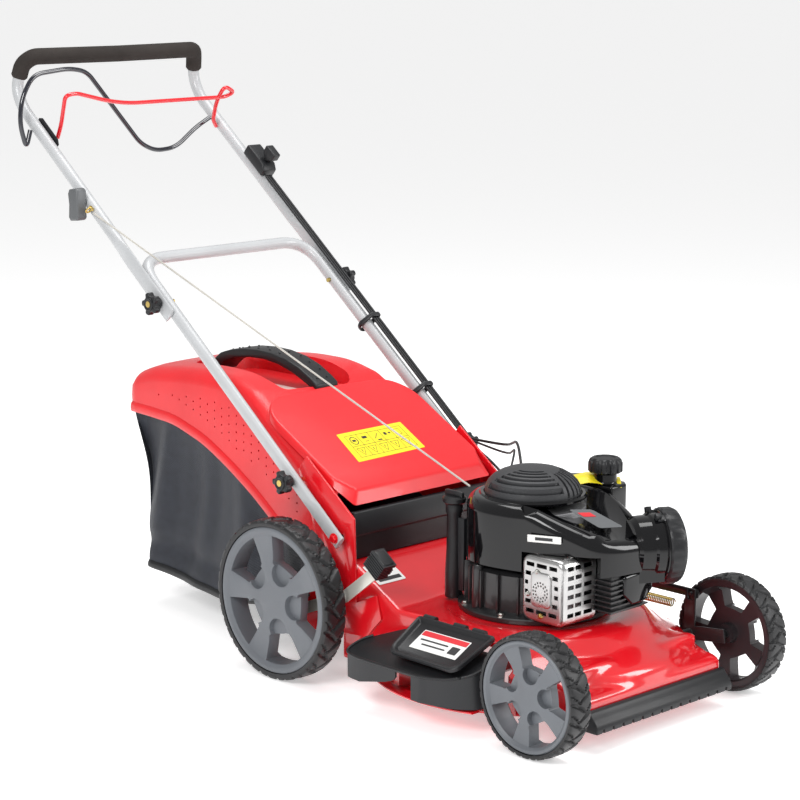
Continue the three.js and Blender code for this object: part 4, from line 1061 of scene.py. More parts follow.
# %% Hinge the thin fill flap in the well
bm = bmesh.new()
slab(bm, [(-34, 584, 448), (-34, 480, 448), (-84, 466, 448)][::-1], (0, 0, 1.2))
keep(bm, "fill_film", "indicator", PINK_FILM, ["fill_indicator"], sharp=40, merge=0)

# %% [markdown]
# The bag is woven from dark coated thread. Its cloth hangs from the lid's bead to a stiff base,
# loose enough to fall into long folds that fan out downwards. The grid is laid round the bag,
# and each point is then moved in or out of the side it lies on.

# %% Weave the finish of the bag, with a painted sheen on its threads
BAG_WEAVE_AND_SHEEN = bpy.data.materials.new("bag_weave_and_painted_sheen")
BAG_WEAVE_AND_SHEEN.use_nodes = True
tree = BAG_WEAVE_AND_SHEEN.node_tree
across = put(tree, "ShaderNodeUVMap", uv_map="weave")
split = put(tree, "ShaderNodeSeparateXYZ", {0: across.outputs[0]})
THREADS = 2 * math.pi / 0.0030
warp = maths(tree, "SINE", maths(tree, "MULTIPLY", split.outputs[0], THREADS), 0.0)
weft = maths(tree, "SINE", maths(tree, "MULTIPLY", split.outputs[1], THREADS), 0.0)
over = maths(tree, "ADD", maths(tree, "MULTIPLY", maths(tree, "MULTIPLY", warp, weft), 0.5), 0.5)
strand = maths(tree, "MAXIMUM", maths(tree, "ABSOLUTE", warp, 0.0), maths(tree, "ABSOLUTE", weft, 0.0))
uneven = put(tree, "ShaderNodeTexNoise", {"Vector": across.outputs[0], "Scale": 60.0, "Detail": 3})
lit = maths(tree, "MULTIPLY", over, maths(tree, "ADD", maths(tree, "MULTIPLY", uneven.outputs["Fac"], 0.9), 0.3))
# The lighter grey-blue at the raised thread crossings is partly the weave's own pattern and partly painted sheen: a
# highlight put into the colour of the cloth.
thread_and_sheen = put(tree, "ShaderNodeMix", {"Factor": lit, 6: (0.004, 0.0045, 0.006, 1), 7: (0.05, 0.057, 0.078, 1)},
             data_type="RGBA")
bump = put(tree, "ShaderNodeBump", {"Height": maths(tree, "MULTIPLY", strand, over), "Strength": 0.6,
                                    "Distance": 0.0008})
shader = tree.nodes["Principled BSDF"]
tree.links.new(thread_and_sheen.outputs[2], shader.inputs["Base Color"])
tree.links.new(bump.outputs["Normal"], shader.inputs["Normal"])
shader.inputs["Roughness"].default_value = 0.5
shader.inputs["Sheen Weight"].default_value = 0.06
shader.inputs["Specular IOR Level"].default_value = 0.3

# %% [markdown]
# The folds are sums of waves along the cloth. They are widest half way down and nothing at the
# bead and at the base, where the cloth is held.

# %% Hang the bag in folds
FLOOR_Y = 560


def bag_floor(y):
    """Height of the bag's base: it falls from the door and then rises a little."""
    t = min(1, max(0, (y - 226) / 340))
    return 112 - 50 * t if y < FLOOR_Y else 62 + (y - FLOOR_Y) * 0.055


def bag_point(u, v):
    """A point of the bag: u runs round it from front right to front left, v from lid to base."""
    side_part = 0.42
    if u < side_part or u > 1 - side_part:
        f = u / side_part if u < 0.5 else (1 - u) / side_part
        y = 228 + (838 - 228) * f
        half, low, top = lid_eased(y)
        sign = -1 if u < 0.5 else 1
        head = Vector((sign * (half - 5), y, low + 10))
        foot = Vector((sign * (half - 17), min(y, 806), bag_floor(y) + 3))
        out = Vector((sign, 0, 0))
        run = f * 610
    else:
        f = (u - side_part) / (1 - 2 * side_part)
        x = -1 + 2 * f
        half, low, top = lid_eased(842)
        bow = 1 - abs(x) ** 6
        head = Vector((x * (half - 5), 838 + 3 * bow, low + 10))
        foot = Vector((x * (half - 18), 806 + 5 * bow, bag_floor(806) + 3))
        out = Vector((0, 1, 0))
        run = 610 + (x + 1) * 120
    p = head.lerp(foot, v)
    drop = (head - foot).length
    swell = math.sin(math.pi * v)
    fan = run * (1 - 0.18 * v)
    fold = (math.sin(fan / 19 + 1.3 * v + 0.6) * 0.55 + math.sin(fan / 33 - 0.9 * v) * 0.8
            + math.sin(fan / 9.5 + 2.1 * v) * 0.18)
    strength = min(1, drop / 160) * (0.35 + 0.95 * swell ** 0.8) * 8.6
    tuck = -7.0 * math.exp(-((v - 0.86) / 0.07) ** 2) * min(1, drop / 160)
    ends = min(1, min(u, 1 - u) / 0.02)
    p += out * ((fold * strength - 9 * swell + tuck) * ends)
    return p, run / 1000, v * drop / 1000


bm = bmesh.new()
ALONG, DOWN = 300, 60
bmesh.ops.create_grid(bm, x_segments=ALONG, y_segments=DOWN, size=1)
uv = bm.loops.layers.uv.new("weave")
laid = {v: ((v.co.x + 1) / 2, (1 - v.co.y) / 2) for v in bm.verts}
for f in bm.faces:
    for loop in f.loops:
        _, run, fall = bag_point(*laid[loop.vert])
        loop[uv].uv = (run, fall)
for v, (a, b) in laid.items():
    v.co = bag_point(a, b)[0]
cloth_area = sum(f.calc_area() for f in bm.faces) / 1e6
bmesh.ops.solidify(bm, geom=list(bm.faces), thickness=-1.0)
bag = keep(bm, "catcher_mesh_bag", "catcher", BAG_WEAVE_AND_SHEEN, ["catcher_bag"], sharp=80, merge=0)
print("bag cloth:", round(cloth_area, 3), "square metres")

# %% [markdown]
# A stiff tray and its rim hold the bag open at the bottom.

# %% Give the bag its stiff base
bm = bmesh.new()
base_line = [bag_point(i / 120, 1.0)[0] for i in range(121)]
piped(bm, [p + Vector((0, 0, -3)) for p in base_line], 5, sides=10, up=(0, 0, 1), shape=lambda i, t: (8, 4.5))
pan = [bm.verts.new(p - Vector((0, 0, 4))) for p in base_line[::4]]
for i in range(len(pan) // 2 - 1):
    bm.faces.new((pan[i], pan[i + 1], pan[-2 - i], pan[-1 - i]))
keep(bm, "catcher_base", "catcher", BLACK_PLASTIC, sharp=50, merge=0)

# %% [markdown]
# ## Rear door
# The door is a red moulding hinged over the discharge. Its front corners are cut off at a slant
# and its rear corners are round. A plain yellow card of picture signs is stuck on its top.

# %% Mould the door
DOOR_RISE = (453 - 327) / (430 - 200)


def door_top(x, y):
    """A point of the door's sloping top."""
    return Vector((x, y, 327 + (y - 200) * DOOR_RISE))


bm = bmesh.new()
round_rear = [(178 - 62 * (1 - math.cos(t)), 371 + 62 * math.sin(t)) for t in (math.pi / 2 * i / 8 for i in range(9))]
plan = [(-152, 200), (152, 200), (178, 236), (178, 300)] + round_rear + [(0, 436)]
plan += [(-x, y) for x, y in reversed(round_rear)] + [(-178, 300), (-178, 236)]
top_face = bm.faces.new([bm.verts.new(door_top(x, y)) for x, y in plan])
made = bmesh.ops.extrude_face_region(bm, geom=[top_face], use_keep_orig=False)["geom"]
lower = [v for v in bm.verts if v not in {g for g in made if isinstance(g, bmesh.types.BMVert)}]
for v in lower:
    if v.co.y < 210:
        v.co += Vector((math.copysign(16, v.co.x), -10, -23))
    else:
        v.co.z -= 15
        v.co.x *= 1.008
bmesh.ops.recalc_face_normals(bm, faces=bm.faces)
caps = [f for f in bm.faces if f.normal.z < -0.5]
rims = [e for e in bm.edges if len(e.link_faces) == 2 and e.calc_face_angle(0) > 0.35
        and not any(f in caps for f in e.link_faces)]
round_edges(bm, rims, 5, 4)
caps = [f for f in bm.faces if f.normal.z < -0.5]
bmesh.ops.delete(bm, geom=caps, context="FACES")
bmesh.ops.solidify(bm, geom=list(bm.faces), thickness=2.6)
keep(bm, "door_moulding", "door", LID_RED, ["rear_door"], sharp=30)

# %% [markdown]
# The card is ruled in two rows of five signs: simple shapes above and small triangles below.

# %% Stick the yellow card on the door
CARD = [door_top(-95, 256), door_top(72, 259), door_top(73, 324), door_top(-86, 323)]
plate("door_card", CARD, LABEL_YELLOW, 0.2, body="door", round_by=2)
bm = bmesh.new()


def on_card(u, v):
    """A point on the card, by parts of its length and height."""
    low_edge, top_edge = CARD[0].lerp(CARD[1], u), CARD[3].lerp(CARD[2], u)
    normal = (CARD[1] - CARD[0]).cross(CARD[3] - CARD[0]).normalized()
    return low_edge.lerp(top_edge, v) + normal * 0.75


def ink(points, wide=1.0, closed=False):
    """A printed line along points of the card, each given as parts of its length and height."""
    pts = [on_card(*p) for p in points]
    for a, b in zip(pts, pts[1:] + ([pts[0]] if closed else [])):
        ahead = b - a
        side = ahead.cross(Vector((0, -DOOR_RISE, 1))).normalized() * wide / 2
        slab(bm, [a - side, b - side, b + side, a + side], (0, -0.05, 0.12))


ink([(0.08, 0.12), (0.93, 0.12), (0.93, 0.88), (0.08, 0.88)], 0.7, True)
ink([(0.08, 0.5), (0.93, 0.5)], 0.7)
for k in range(1, 5):
    ink([(0.08 + 0.17 * k, 0.12), (0.08 + 0.17 * k, 0.88)], 0.7)
for k in range(5):
    u = 0.165 + 0.17 * k
    ink([(u - 0.06, 0.42), (u + 0.06, 0.42), (u, 0.17)], 0.8, True)
    ink([(u, 0.37), (u, 0.29)], 1.4)
ink([(0.165 + 0.05 * math.cos(t), 0.69 + 0.13 * math.sin(t)) for t in (math.tau * i / 12 for i in range(12))], 1.6,
    True)
ink([(0.14, 0.69), (0.19, 0.69)], 5)
for u0, v0, u1, v1, wide in (
    (0.30, 0.74, 0.37, 0.74, 6), (0.31, 0.60, 0.36, 0.60, 1.2), (0.47, 0.62, 0.54, 0.78, 1.2),
    (0.49, 0.56, 0.55, 0.56, 3), (0.63, 0.72, 0.67, 0.72, 7), (0.70, 0.72, 0.73, 0.72, 4),
):
    ink([(u0, v0), (u1, v1)], wide)
ink([(0.80, 0.60), (0.88, 0.60), (0.88, 0.80), (0.80, 0.80)], 0.7, True)
keep(bm, "door_card_ink", "door", LABEL_INK, sharp=50, merge=0)
print("catcher and door done")

# %% [markdown]
# ## Handle
# The handle is steel tube in two halves. The lower half is one tube bent over at the crossbar,
# with its ends pressed flat where they are bolted to the deck. The upper half is pressed flat
# at the folding joint, runs up, and turns back down into the hand grip.

# %% Measure along the handle
RISE = math.radians(38.96)
BOLT_Y, BOLT_Z = 197.7, 252.2
LEG_X, UPPER_X, FLAT_X, TUBE = 205, 218, 220.5, 11
KNOB_AT, HEIGHT_AT = 565, 133
X_AXIS = Vector((1, 0, 0))


def along(length, lift=0.0):
    """Point in the side plane at a length up the leg and a lift square to it."""
    return (BOLT_Y + length * math.cos(RISE) - lift * math.sin(RISE),
            BOLT_Z + length * math.sin(RISE) + lift * math.cos(RISE))


def length_at(p):
    """The length up the leg at which a point lies."""
    return (p.y - BOLT_Y) * math.cos(RISE) + (p.z - BOLT_Z) * math.sin(RISE)


def smooth_step(t):
    """Goes smoothly from 0 to 1 as t does."""
    t = min(1, max(0, t))
    return t * t * (3 - 2 * t)


def mirrored(half):
    """The other half of a path added across the middle of the mower."""
    return half + [Vector((-p[0], p[1], p[2])) for p in reversed(half[:-1])]


def bored(bm, lengths, radius, reach=400):
    """Holes across the handle at some lengths up the leg."""
    cutter = bmesh.new()
    for length in lengths:
        turned(cutter, [(0, -reach), (radius, -reach), (radius, reach), (0, reach)], (0, *along(length)), "X", steps=20)
    return carve(bm, cutter)


# %% [markdown]
# The lower tube is round but for its two ends. There its section is squeezed from 22 mm to 10 mm
# and grows wider, as a tube does in a press.

# %% Bend the lower handle
lower_half = eased([(LEG_X, *along(-12)), (LEG_X, *along(505)), (LEG_X, *along(671)), (0, *along(671))], 62, 14)
pressed = [lower_half[0].lerp(lower_half[1], t) for t in (0, 0.05, 0.1, 0.125, 0.15, 0.175, 0.2)]
lower_half = pressed + lower_half[1:]
lower_line = mirrored(lower_half)


def lower_ring(i, t):
    """The tube's section: flat at its bolted end, round above it."""
    length = length_at(lower_line[i])
    press = smooth_step((length - 66) / 30)
    return (5 + 6 * press, 14 - 3 * press) if length < 100 else (TUBE, TUBE)


bm = bmesh.new()
piped(bm, lower_line, TUBE, sides=28, shape=lower_ring)
bm = bored(bm, (KNOB_AT, HEIGHT_AT), 4.6)
bm = bored(bm, (0,), 5)
keep(bm, "handle_lower_tube", "lower_handle", TUBE_GREY, ["lower_handle"], sharp=40)

# %% [markdown]
# The upper tube is squeezed along its joint with the lower one, so that both lie side by side.

# %% Bend the upper handle
knee = KNOB_AT + (671 - KNOB_AT) * 1.25
upper_half = [Vector((FLAT_X, *along(s))) for s in (530, 532, 620, knee - 20)]
upper_half += [Vector((FLAT_X + (UPPER_X - FLAT_X) * t, *along(knee - 20 + 50 * t))) for t in (0.2, 0.4, 0.6, 0.8, 1)]
upper_half += eased([(UPPER_X, *along(knee + 40)), (UPPER_X, *along(1000)), (UPPER_X, 1038, 932),
                     (UPPER_X - 1, 1057, 968),
                     (UPPER_X - 8, 1046, 1012), (UPPER_X - 22, 1031, 1026), (0, 1025, 1025)], 26, 6)
upper_line = mirrored(upper_half)


def upper_ring(i, t):
    """The tube's section: flat round the folding joint, round above it."""
    length = length_at(upper_line[i])
    if length > 740:
        return TUBE, TUBE
    press = smooth_step((length - knee + 16) / 40)
    end = 0.55 if length < 531 else 1
    return (4 + 7 * press) * end, (15 - 4 * press) * end


bm = bmesh.new()
piped(bm, upper_line, TUBE, sides=28, shape=upper_ring)
bm = bored(bm, (KNOB_AT,), 4.6)
keep(bm, "handle_upper_tube", "upper_handle", TUBE_GREY, ["upper_handle"], sharp=40)

# %% [markdown]
# The grip is a sleeve of foam over the bar and its two corners. Its ends are turned in.

# %% Slide the foam on the hand grip
FOAM = 15.5
start = next(i for i, p in enumerate(upper_half) if p.z > 985)
grip_line = mirrored(upper_half[start:])
grip_line = [grip_line[0], grip_line[0].lerp(grip_line[1], 0.25)] + grip_line[1:-1] \
    + [grip_line[-1].lerp(grip_line[-2], 0.25), grip_line[-1]]
bm = bmesh.new()
last = len(grip_line) - 1
piped(bm, grip_line, FOAM, sides=32, shape=lambda i, t: (12.4, 12.4) if i in (0, last) else (FOAM, FOAM))
soften(bm, 2, 50, 3)
keep(bm, "foam_sleeve", "upper_handle", FOAM_BROWN, ["foam_grip"], sharp=60)

# %% [markdown]
# Four star knobs hold the handle. Each has five lobes, a stepped neck and a brass bolt
# moulded in its middle.

# %% Mould the star knobs
for hand, sign in (("right", -1), ("left", 1)):
    for kind, length, seat, deep in (("fold", KNOB_AT, 224.5, 190), ("height", HEIGHT_AT, 216, 193)):
        y, z = along(length)
        bm = bmesh.new()
        star = []
        for i in range(80):
            t = math.tau * i / 80
            r = 17.6 + 3.2 * math.tanh(2.2 * math.cos(5 * t))
            star.append((sign * (seat + 10), y + r * math.cos(t), z + r * math.sin(t)))
        slab(bm, star, (sign * 13.5, 0, 0))
        soften(bm, 2.6, 60, 3)
        for part in ([(0, 0.4), (10.5, 0.4), (10.5, 3.5), (12, 9), (12, 11), (0, 11)],
                     [(0, 20), (12.5, 20), (12, 25.4), (10.4, 26), (8.4, 25), (0, 25)]):
            turned(bm, [(r, seat + h) for r, h in part], (0, y, z), "X", steps=32)
        if sign < 0:
            bmesh.ops.scale(bm, vec=(-1, 1, 1), verts=[v for v in bm.verts if v.co.x > 0])
            bmesh.ops.recalc_face_normals(bm, faces=bm.faces)
        body = f"{kind}_knob_{hand}"
        keep(bm, f"{body}_star", body, BLACK_PLASTIC, [body], sharp=40, merge=0, outward=True)
        bm = bmesh.new()
        turned(bm, [(0, deep), (4, deep), (4, seat + 24.4), (5.6, seat + 24.6), (5.6, seat + 25.6), (0, seat + 25.8)],
               (0, y, z), "X", steps=20)
        if sign < 0:
            bmesh.ops.scale(bm, vec=(-1, 1, 1), verts=bm.verts)
        keep(bm, f"{body}_bolt", body, BRASS, sharp=40, outward=True)

# %% [markdown]
# The red bail and the black bail are bent from wire and swing on a small bracket near the
# hand grip.

# %% Bend the two bails
def bent_bail(name, body, pivot, angle, points, radius, finish):
    """A wire bent in a plane through its hinge; each point is (x, distance from the hinge)."""
    c, s = math.cos(math.radians(angle)), math.sin(math.radians(angle))
    path = [(x, pivot[0] + e * c, pivot[1] + e * s) for x, e in points]
    bm = bmesh.new()
    piped(bm, eased(path, 26, 7), radius, sides=16, up=(0, -s, c))
    keep(bm, name, body, finish, [body], sharp=50, outward=True)


bent_bail("drive_wire", "drive_bail", along(995), 120,
          [(-188, 0), (-190, 28), (-204, 94), (-180, 98), (-97, 76), (-42, 68), (196, 69), (215, 79), (184, 96),
           (178, 60), (188, 15), (202, 0)], 4, BAIL_RED)
bent_bail("stop_wire", "stop_bail", along(1020), 90,
          [(-236, 0), (-246, -34), (-260, 13), (-254, 59), (-227, 102), (-144, 110), (-102, 103), (26, -41), (63, -57),
           (114, -54), (165, -18), (202, 0)], 4.5, BAIL_BLACK)

# %% [markdown]
# The starter rope passes a pigtail: a wire of one and a quarter turns, open so the rope slips in.

# %% Thread the pigtail guide
EYE = Vector((-238, *along(800, 6)))
ROPE_END = Vector((-64, 20, 350))
TOWARDS = (ROPE_END - EYE).normalized()
bm = bmesh.new()
coil = []
for i in range(41):
    t = math.tau * 1.25 * i / 40
    square = Vector((0, -math.sin(RISE), math.cos(RISE)))
    round_eye = (X_AXIS * math.cos(t) + square * math.sin(t)) * 6.5
    coil.append(EYE + round_eye + square.cross(X_AXIS) * (i / 40 - 0.5) * 4.2)
coil += [Vector((-229, EYE.y - 1, EYE.z + 1))]
piped(bm, coil, 1.9, sides=12)
keep(bm, "pigtail", "upper_handle", BRASS, ["rope_guide"], sharp=50, outward=True)

# %% [markdown]
# The rope is laid from three strands that wind round one another on a straight line.

# %% Lay the starter rope from three strands
WHITE_ROPE = hard_finish("white_laid_rope", (0.52, 0.50, 0.46), 0.8, grain=2400, depth=0.1, patch=0.85, wear=0.05,
                         specular=0.2)
TWIST, STRAND = 9.0, 1.05
reach = (ROPE_END - EYE).length
side, top = TOWARDS.orthogonal().normalized(), TOWARDS.cross(TOWARDS.orthogonal().normalized())
bm = bmesh.new()
for strand_no in range(3):
    path = []
    for i in range(480):
        s = 12 + (reach - 12) * i / 479
        t = s / TWIST * math.tau + strand_no * math.tau / 3
        path.append(EYE + TOWARDS * s + (side * math.cos(t) + top * math.sin(t)) * 0.9)
    piped(bm, path, STRAND, sides=7)
cord = keep(bm, "starter_cord", None, WHITE_ROPE, ["starter_rope"], sharp=60, merge=0)

# %% [markdown]
# The grip at the rope's end is a T with soft corners and a short boss where the rope enters.

# %% Mould the starter grip
bm = bmesh.new()
GRIP = EYE - TOWARDS * 26
outline = [(-13, -30), (-15, -24), (-12.5, 2), (-14, 24), (-9, 30), (0, 28), (11, 26), (15, 18), (12, -2), (13.5, -26),
           (8, -32), (0, -31)]
slab(bm, [(GRIP.x - 13, GRIP.y + 4 + a, GRIP.z - 2 + b) for a, b in outline], (24, 0, 0))
soften(bm, 5, 60, 4)
turned(bm, [(0, GRIP.x + 5), (8, GRIP.x + 5), (6, GRIP.x + 17), (3.2, GRIP.x + 19), (0, GRIP.x + 19)],
       (0, GRIP.y + 2, GRIP.z + 1), "X", steps=24)
keep(bm, "starter_tee", "starter", LEVER_GREY, ["starter_handle"], sharp=50, merge=0, outward=True)

# %% [markdown]
# The throttle lever, the bails' bracket and three cables are on the handle too. The cables run
# down the far leg under two clips.

# %% Lay the three cables
CABLES = (
    ("throttle_cable", 220, [(214, 190, 352), (120, 80, 392), (62, 16, 354)], 2.5),
    ("stop_cable", 214, [(206, 180, 338), (110, 76, 380), (42, 28, 351)], 2),
    ("drive_cable", 208, [(210, 206, 308), (206, 146, 256), (150, 128, 187)], 2.5),
)
for name, x, tail, radius in CABLES:
    straight = [(x, *along(830 - 20 * i, 19)) for i in range(35)] + [(x, *along(130, 19))]
    bm = bmesh.new()
    piped(bm, eased(straight + tail, 70, 12), radius, sides=10)
    piece = keep(bm, f"{name}_run", None, BLACK_PLASTIC, [name], sharp=60, outward=True)
    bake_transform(piece)
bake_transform(cord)

# %% [markdown]
# Two bands hold the cables on the leg. Each is one closed strap round the tube and the cables.

# %% Clip the cables to the far leg
for k, length in enumerate((448, 268)):
    angles = [math.radians(a) for a in range(-200, 21, 20)]
    path = [(LEG_X + 15.5 * math.cos(t), *along(length, -2 + 15.5 * math.sin(t))) for t in angles]
    path += [(LEG_X + 20, *along(length, 14)), (LEG_X + 19, *along(length, 23)), (LEG_X, *along(length, 24))]
    bm = bmesh.new()
    piped(bm, path, 2, sides=8, closed=True, up=(0, math.cos(RISE), math.sin(RISE)), shape=lambda i, t: (5, 1.6))
    keep(bm, f"cable_clip_{k + 1}", "lower_handle", BLACK_PLASTIC, sharp=50, outward=True)

# %% [markdown]
# The throttle's case wraps two sides of the tube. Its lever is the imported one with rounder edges.

# %% Mould the throttle and its lever
bm = bmesh.new()
for x0, x1, low, high in ((204, 238, 11.4, 34), (229.4, 238, -12, 12)):
    corners = [(838, low), (905, low), (905, high), (850, high), (838, high - 8)] if low > 0 else \
        [(838, low + 6), (844, low), (899, low), (905, low + 6), (905, high), (838, high)]
    slab(bm, [(x0, *along(*c)) for c in corners], (x1 - x0, 0, 0))
soften(bm, 3, 40, 3)
y, z = along(857, 22)
turned(bm, [(0, 236), (9, 236), (9, 239.5), (7.5, 240.5), (0, 240.5)], (0, y, z), "X", steps=24)
keep(bm, "throttle_case", "upper_handle", BLACK_PLASTIC, ["throttle_housing"], sharp=40, merge=0)
dress("throttle_lever", "throttle_thumb", "throttle", BLACK_PLASTIC, 2.5, segments=3)

# %% [markdown]
# A small flat plate inside the near leg carries the bosses that the two bails turn on.

# %% Mould the bracket of the bails
bm = bmesh.new()
plate_side = [(968, -8), (974, -13), (1036, -13), (1042, -6), (1042, 8), (1034, 15), (976, 15), (968, 9)]
slab(bm, [(-206.6, *along(*c)) for c in plate_side], (1.6, 0, 0))
soften(bm, 0.6, 40, 2)
for length in (995, 1020):
    turned(bm, [(0, -205.4), (7, -205.4), (6, -200), (0, -199.4)], (0, *along(length)), "X", steps=20)
keep(bm, "bail_plate", "upper_handle", BLACK_PLASTIC, ["bail_bracket"], sharp=40, merge=0)

# %% [markdown]
# One washer and one hexagon head on each side bolt the handle to its bracket.

# %% Bolt the handle to the deck
bm = bmesh.new()
for sign in (-1, 1):
    for part, steps in (([(0, 210), (9.5, 210), (9.5, 211.4), (0, 211.4)], 24),
                        ([(0, 211), (7.4, 211), (7.4, 215), (6, 216.4), (0, 216.6)], 6)):
        turned(bm, [(r, sign * x) for r, x in part], (0, *along(0)), "X", steps=steps)
keep(bm, "handle_bolts", "lower_handle", [DECK_RED], sharp=30, merge=0, outward=True)
print("handle done")

# %% [markdown]
# ## Deck
# The deck is one deep pressing. Its round blade housing, its nose, the tunnel to the catcher
# and the side port are laid over one another and joined as one skin of small faces. The skin is
# then relaxed, so that each form runs into the next as sheet steel does when it is pressed.

# %% Lay the forms of the deck over one another
bm = bmesh.new()
dish = [(0, 38), (262, 38), (262, 92), (255, 101), (240, 109), (215, 122), (193, 141), (185, 147), (174, 149),
        (168, 151.5), (152, 151.5), (146, 150), (0, 150)]
turned(bm, dish, (0, SPINDLE_Y, 0), steps=96)
nose = [(-336, 38), (-336, 74), (-333, 80), (-326, 83), (-300, 88), (-274, 98), (-262, 99), (-240, 106), (-210, 121),
        (-188, 134), (-164, 142), (-100, 149), (-100, 38)]
slab(bm, [(-172, y, z) for y, z in nose], (344, 0, 0))
tunnel = [(-60, 38), (-60, 150), (70, 150), (180, 211), (200, 211), (200, 38)]
slab(bm, [(-187.5, y, z) for y, z in tunnel], (375, 0, 0))
block(bm, (-203, -208, 38), (-120, -2, 148))
for sign in (-1, 1):
    slab(bm, [(sign * x, -300 + y, 92) for x, y in ((60, 0), (150, 0), (156, 12), (120, 90), (70, 90))], (0, 0, 26))
skin_mesh = bpy.data.meshes.new("deck_forms")
bm.to_mesh(skin_mesh)
bm.free()
forms = bpy.data.objects.new("deck_forms", skin_mesh)
scene.collection.objects.link(forms)
joined = forms.modifiers.new("one skin", "REMESH")
joined.mode, joined.voxel_size = "VOXEL", 4.4
bpy.context.view_layer.update()
bm = bmesh.new()
bm.from_mesh(forms.evaluated_get(bpy.context.evaluated_depsgraph_get()).data)
bpy.data.objects.remove(forms)
for k in range(7):
    free = [v for v in bm.verts if v.co.z > 50 and v.co.y < 192]
    bmesh.ops.smooth_vert(bm, verts=free, factor=0.5, use_axis_x=True, use_axis_y=True, use_axis_z=True)
print("deck skin:", len(bm.faces), "faces")

# %% [markdown]
# Each wheel well is a long round-ended hole, since the wheel moves up and down in it. The deck is
# open below, behind and at the side outlet, and its skin then gets the thickness of the sheet.

# %% Cut the wheel wells, the shaft hole and the open sides
def wheel_wells(grow=0):
    """The room that a front wheel needs on each side, over its whole height range."""
    cutter = bmesh.new()
    around = [math.tau * i / 72 for i in range(72)]
    for x in (-302, 212.5 - grow):
        slab(cutter, [(x, -292 + (114 + grow) * math.cos(t), (125 if t < math.pi else 75) + (114 + grow) * math.sin(t))
                      for t in around], (89.5 + grow, 0, 0))
    return cutter


bm = carve(bm, wheel_wells())
cutter = bmesh.new()
turned(cutter, [(0, 100), (50, 100), (50, 170), (0, 170)], (0, SPINDLE_Y, 0), steps=48)
turned(cutter, [(0, -252), (8.6, -252), (8.6, 252), (0, 252)], (0, -234.4, 92), "X", steps=20)
block(cutter, (-292, -208, 43.1), (-203.1, -2, 180))
bm = carve(bm, cutter)
print("deck cut to:", len(bm.faces), "faces")
gone = [f for f in bm.faces if f.calc_center_median().z < 41 and f.normal.z < -0.7
        or f.calc_center_median().y > 198 and f.normal.y > 0.7 and f.calc_center_median().z < 206
        or f.normal.x < -0.9 and abs(f.calc_center_median().x + 203.1) < 0.3 and f.calc_center_median().z < 142]
bmesh.ops.delete(bm, geom=gone, context="FACES")
bmesh.ops.solidify(bm, geom=list(bm.faces), thickness=2.2)
keep(bm, "deck_pressing", "deck", DECK_RED, ["deck_shell"], sharp=45)

# %% [markdown]
# The rim of the blade housing is turned out into a narrow flange with a rolled edge.

# %% Roll the flange round the blade housing
bm = bmesh.new()
rolled = [(258, 40), (277.5, 40), (279, 41), (279, 43), (277.5, 44), (266, 44), (262, 47), (258, 47)]
turned(bm, rolled, (0, SPINDLE_Y, 0), steps=128, closed=True)
bm = carve(bm, wheel_wells(10))
cutter = bmesh.new()
block(cutter, (-290, -400, 30), (290, -335.8, 60))
bm = carve(bm, cutter)
keep(bm, "deck_flange", "deck", DECK_RED, sharp=40, merge=0)

# %% [markdown]
# The bumper is a plastic strip over the edge of the nose. Its lower edge is coarsely toothed.

# %% Mould the bumper
bm = bmesh.new()
strip = [(-336.3, 30), (-336.3, 62), (-338, 64), (-344, 62.5), (-347, 58), (-353, 52), (-359, 44), (-361, 38),
         (-361, 30)]
slab(bm, [(-172, y, z) for y, z in strip], (344, 0, 0))
ends = [e for e in bm.edges if abs(abs(e.verts[0].co.x) - 172) < 0.1 and abs(abs(e.verts[1].co.x) - 172) < 0.1
        and min(v.co.y for v in e.verts) < -338]
round_edges(bm, ends, 3, 3)
cutter = bmesh.new()
for k in range(14):
    x = -156 + 24 * k
    slab(cutter, [(x - 3.5, -380, 28), (x + 3.5, -380, 28), (x + 2, -380, 37), (x - 2, -380, 37)], (0, 33, 0))
bm = carve(bm, cutter)
keep(bm, "bumper_strip", "deck", BLACK_PLASTIC, ["front_bumper"], sharp=35)

# %% [markdown]
# ## Side outlet
# A flap like a shallow tray closes the side outlet. Below it, a curved wing carries the cut
# grass away from the wheels.

# %% Mould the flap as a tray
HINGE, EDGE = Vector((-203, 0, 157)), Vector((-290, 0, 112))
DOWN = (EDGE - HINGE).normalized()
FACE = Vector((DOWN.z, 0, -DOWN.x))
bm = bmesh.new()


def tray_ring(inset, lift):
    """One ring of the tray's outline, set in from its edge and lifted off its face."""
    corners = [(-174 + inset, inset + 2), (-2 - inset, inset + 2), (-8 - inset, 93 - inset), (-160 + inset, 96 - inset)]
    ring = []
    for k in range(4):
        a, b, c = (Vector((*corners[(k + d) % 4], 0)) for d in (-1, 0, 1))
        r = max(3, (18 if k > 1 else 7) - inset * 0.5)
        start, end = b + (a - b).normalized() * r, b + (c - b).normalized() * r
        for i in range(7):
            t = i / 6
            p = start * (1 - t) ** 2 + b * 2 * t * (1 - t) + end * t * t
            ring.append(bm.verts.new(HINGE + Vector((0, p.x, 0)) + DOWN * p.y + FACE * lift))
    return ring


levels = [tray_ring(1.5, -5), tray_ring(0, -3), tray_ring(0, 2.5), tray_ring(1.5, 4), tray_ring(5, 4),
          tray_ring(7, 2.5), tray_ring(9, -1.5), tray_ring(11, -2.6)]
for first, second in zip(levels, levels[1:]):
    for k in range(28):
        n = (k + 1) % 28
        bm.faces.new((first[k], first[n], second[n], second[k]))
bm.faces.new(levels[0])
bm.faces.new(levels[-1])
for start in (-150, -108, -40):
    turned(bm, [(0, start), (5.2, start), (5.2, start + 26), (0, start + 26)], (-204, 0, 157.5), "Y", steps=20)
keep(bm, "flap_tray", "flap", BLACK_PLASTIC, ["side_flap"], sharp=40, merge=0, outward=True)


def flap_corners(y0, y1, d0, d1, lift):
    return [HINGE + Vector((0, y, 0)) + DOWN * d + FACE * lift for y, d in ((y0, d1), (y0, d0), (y1, d0), (y1, d1))]


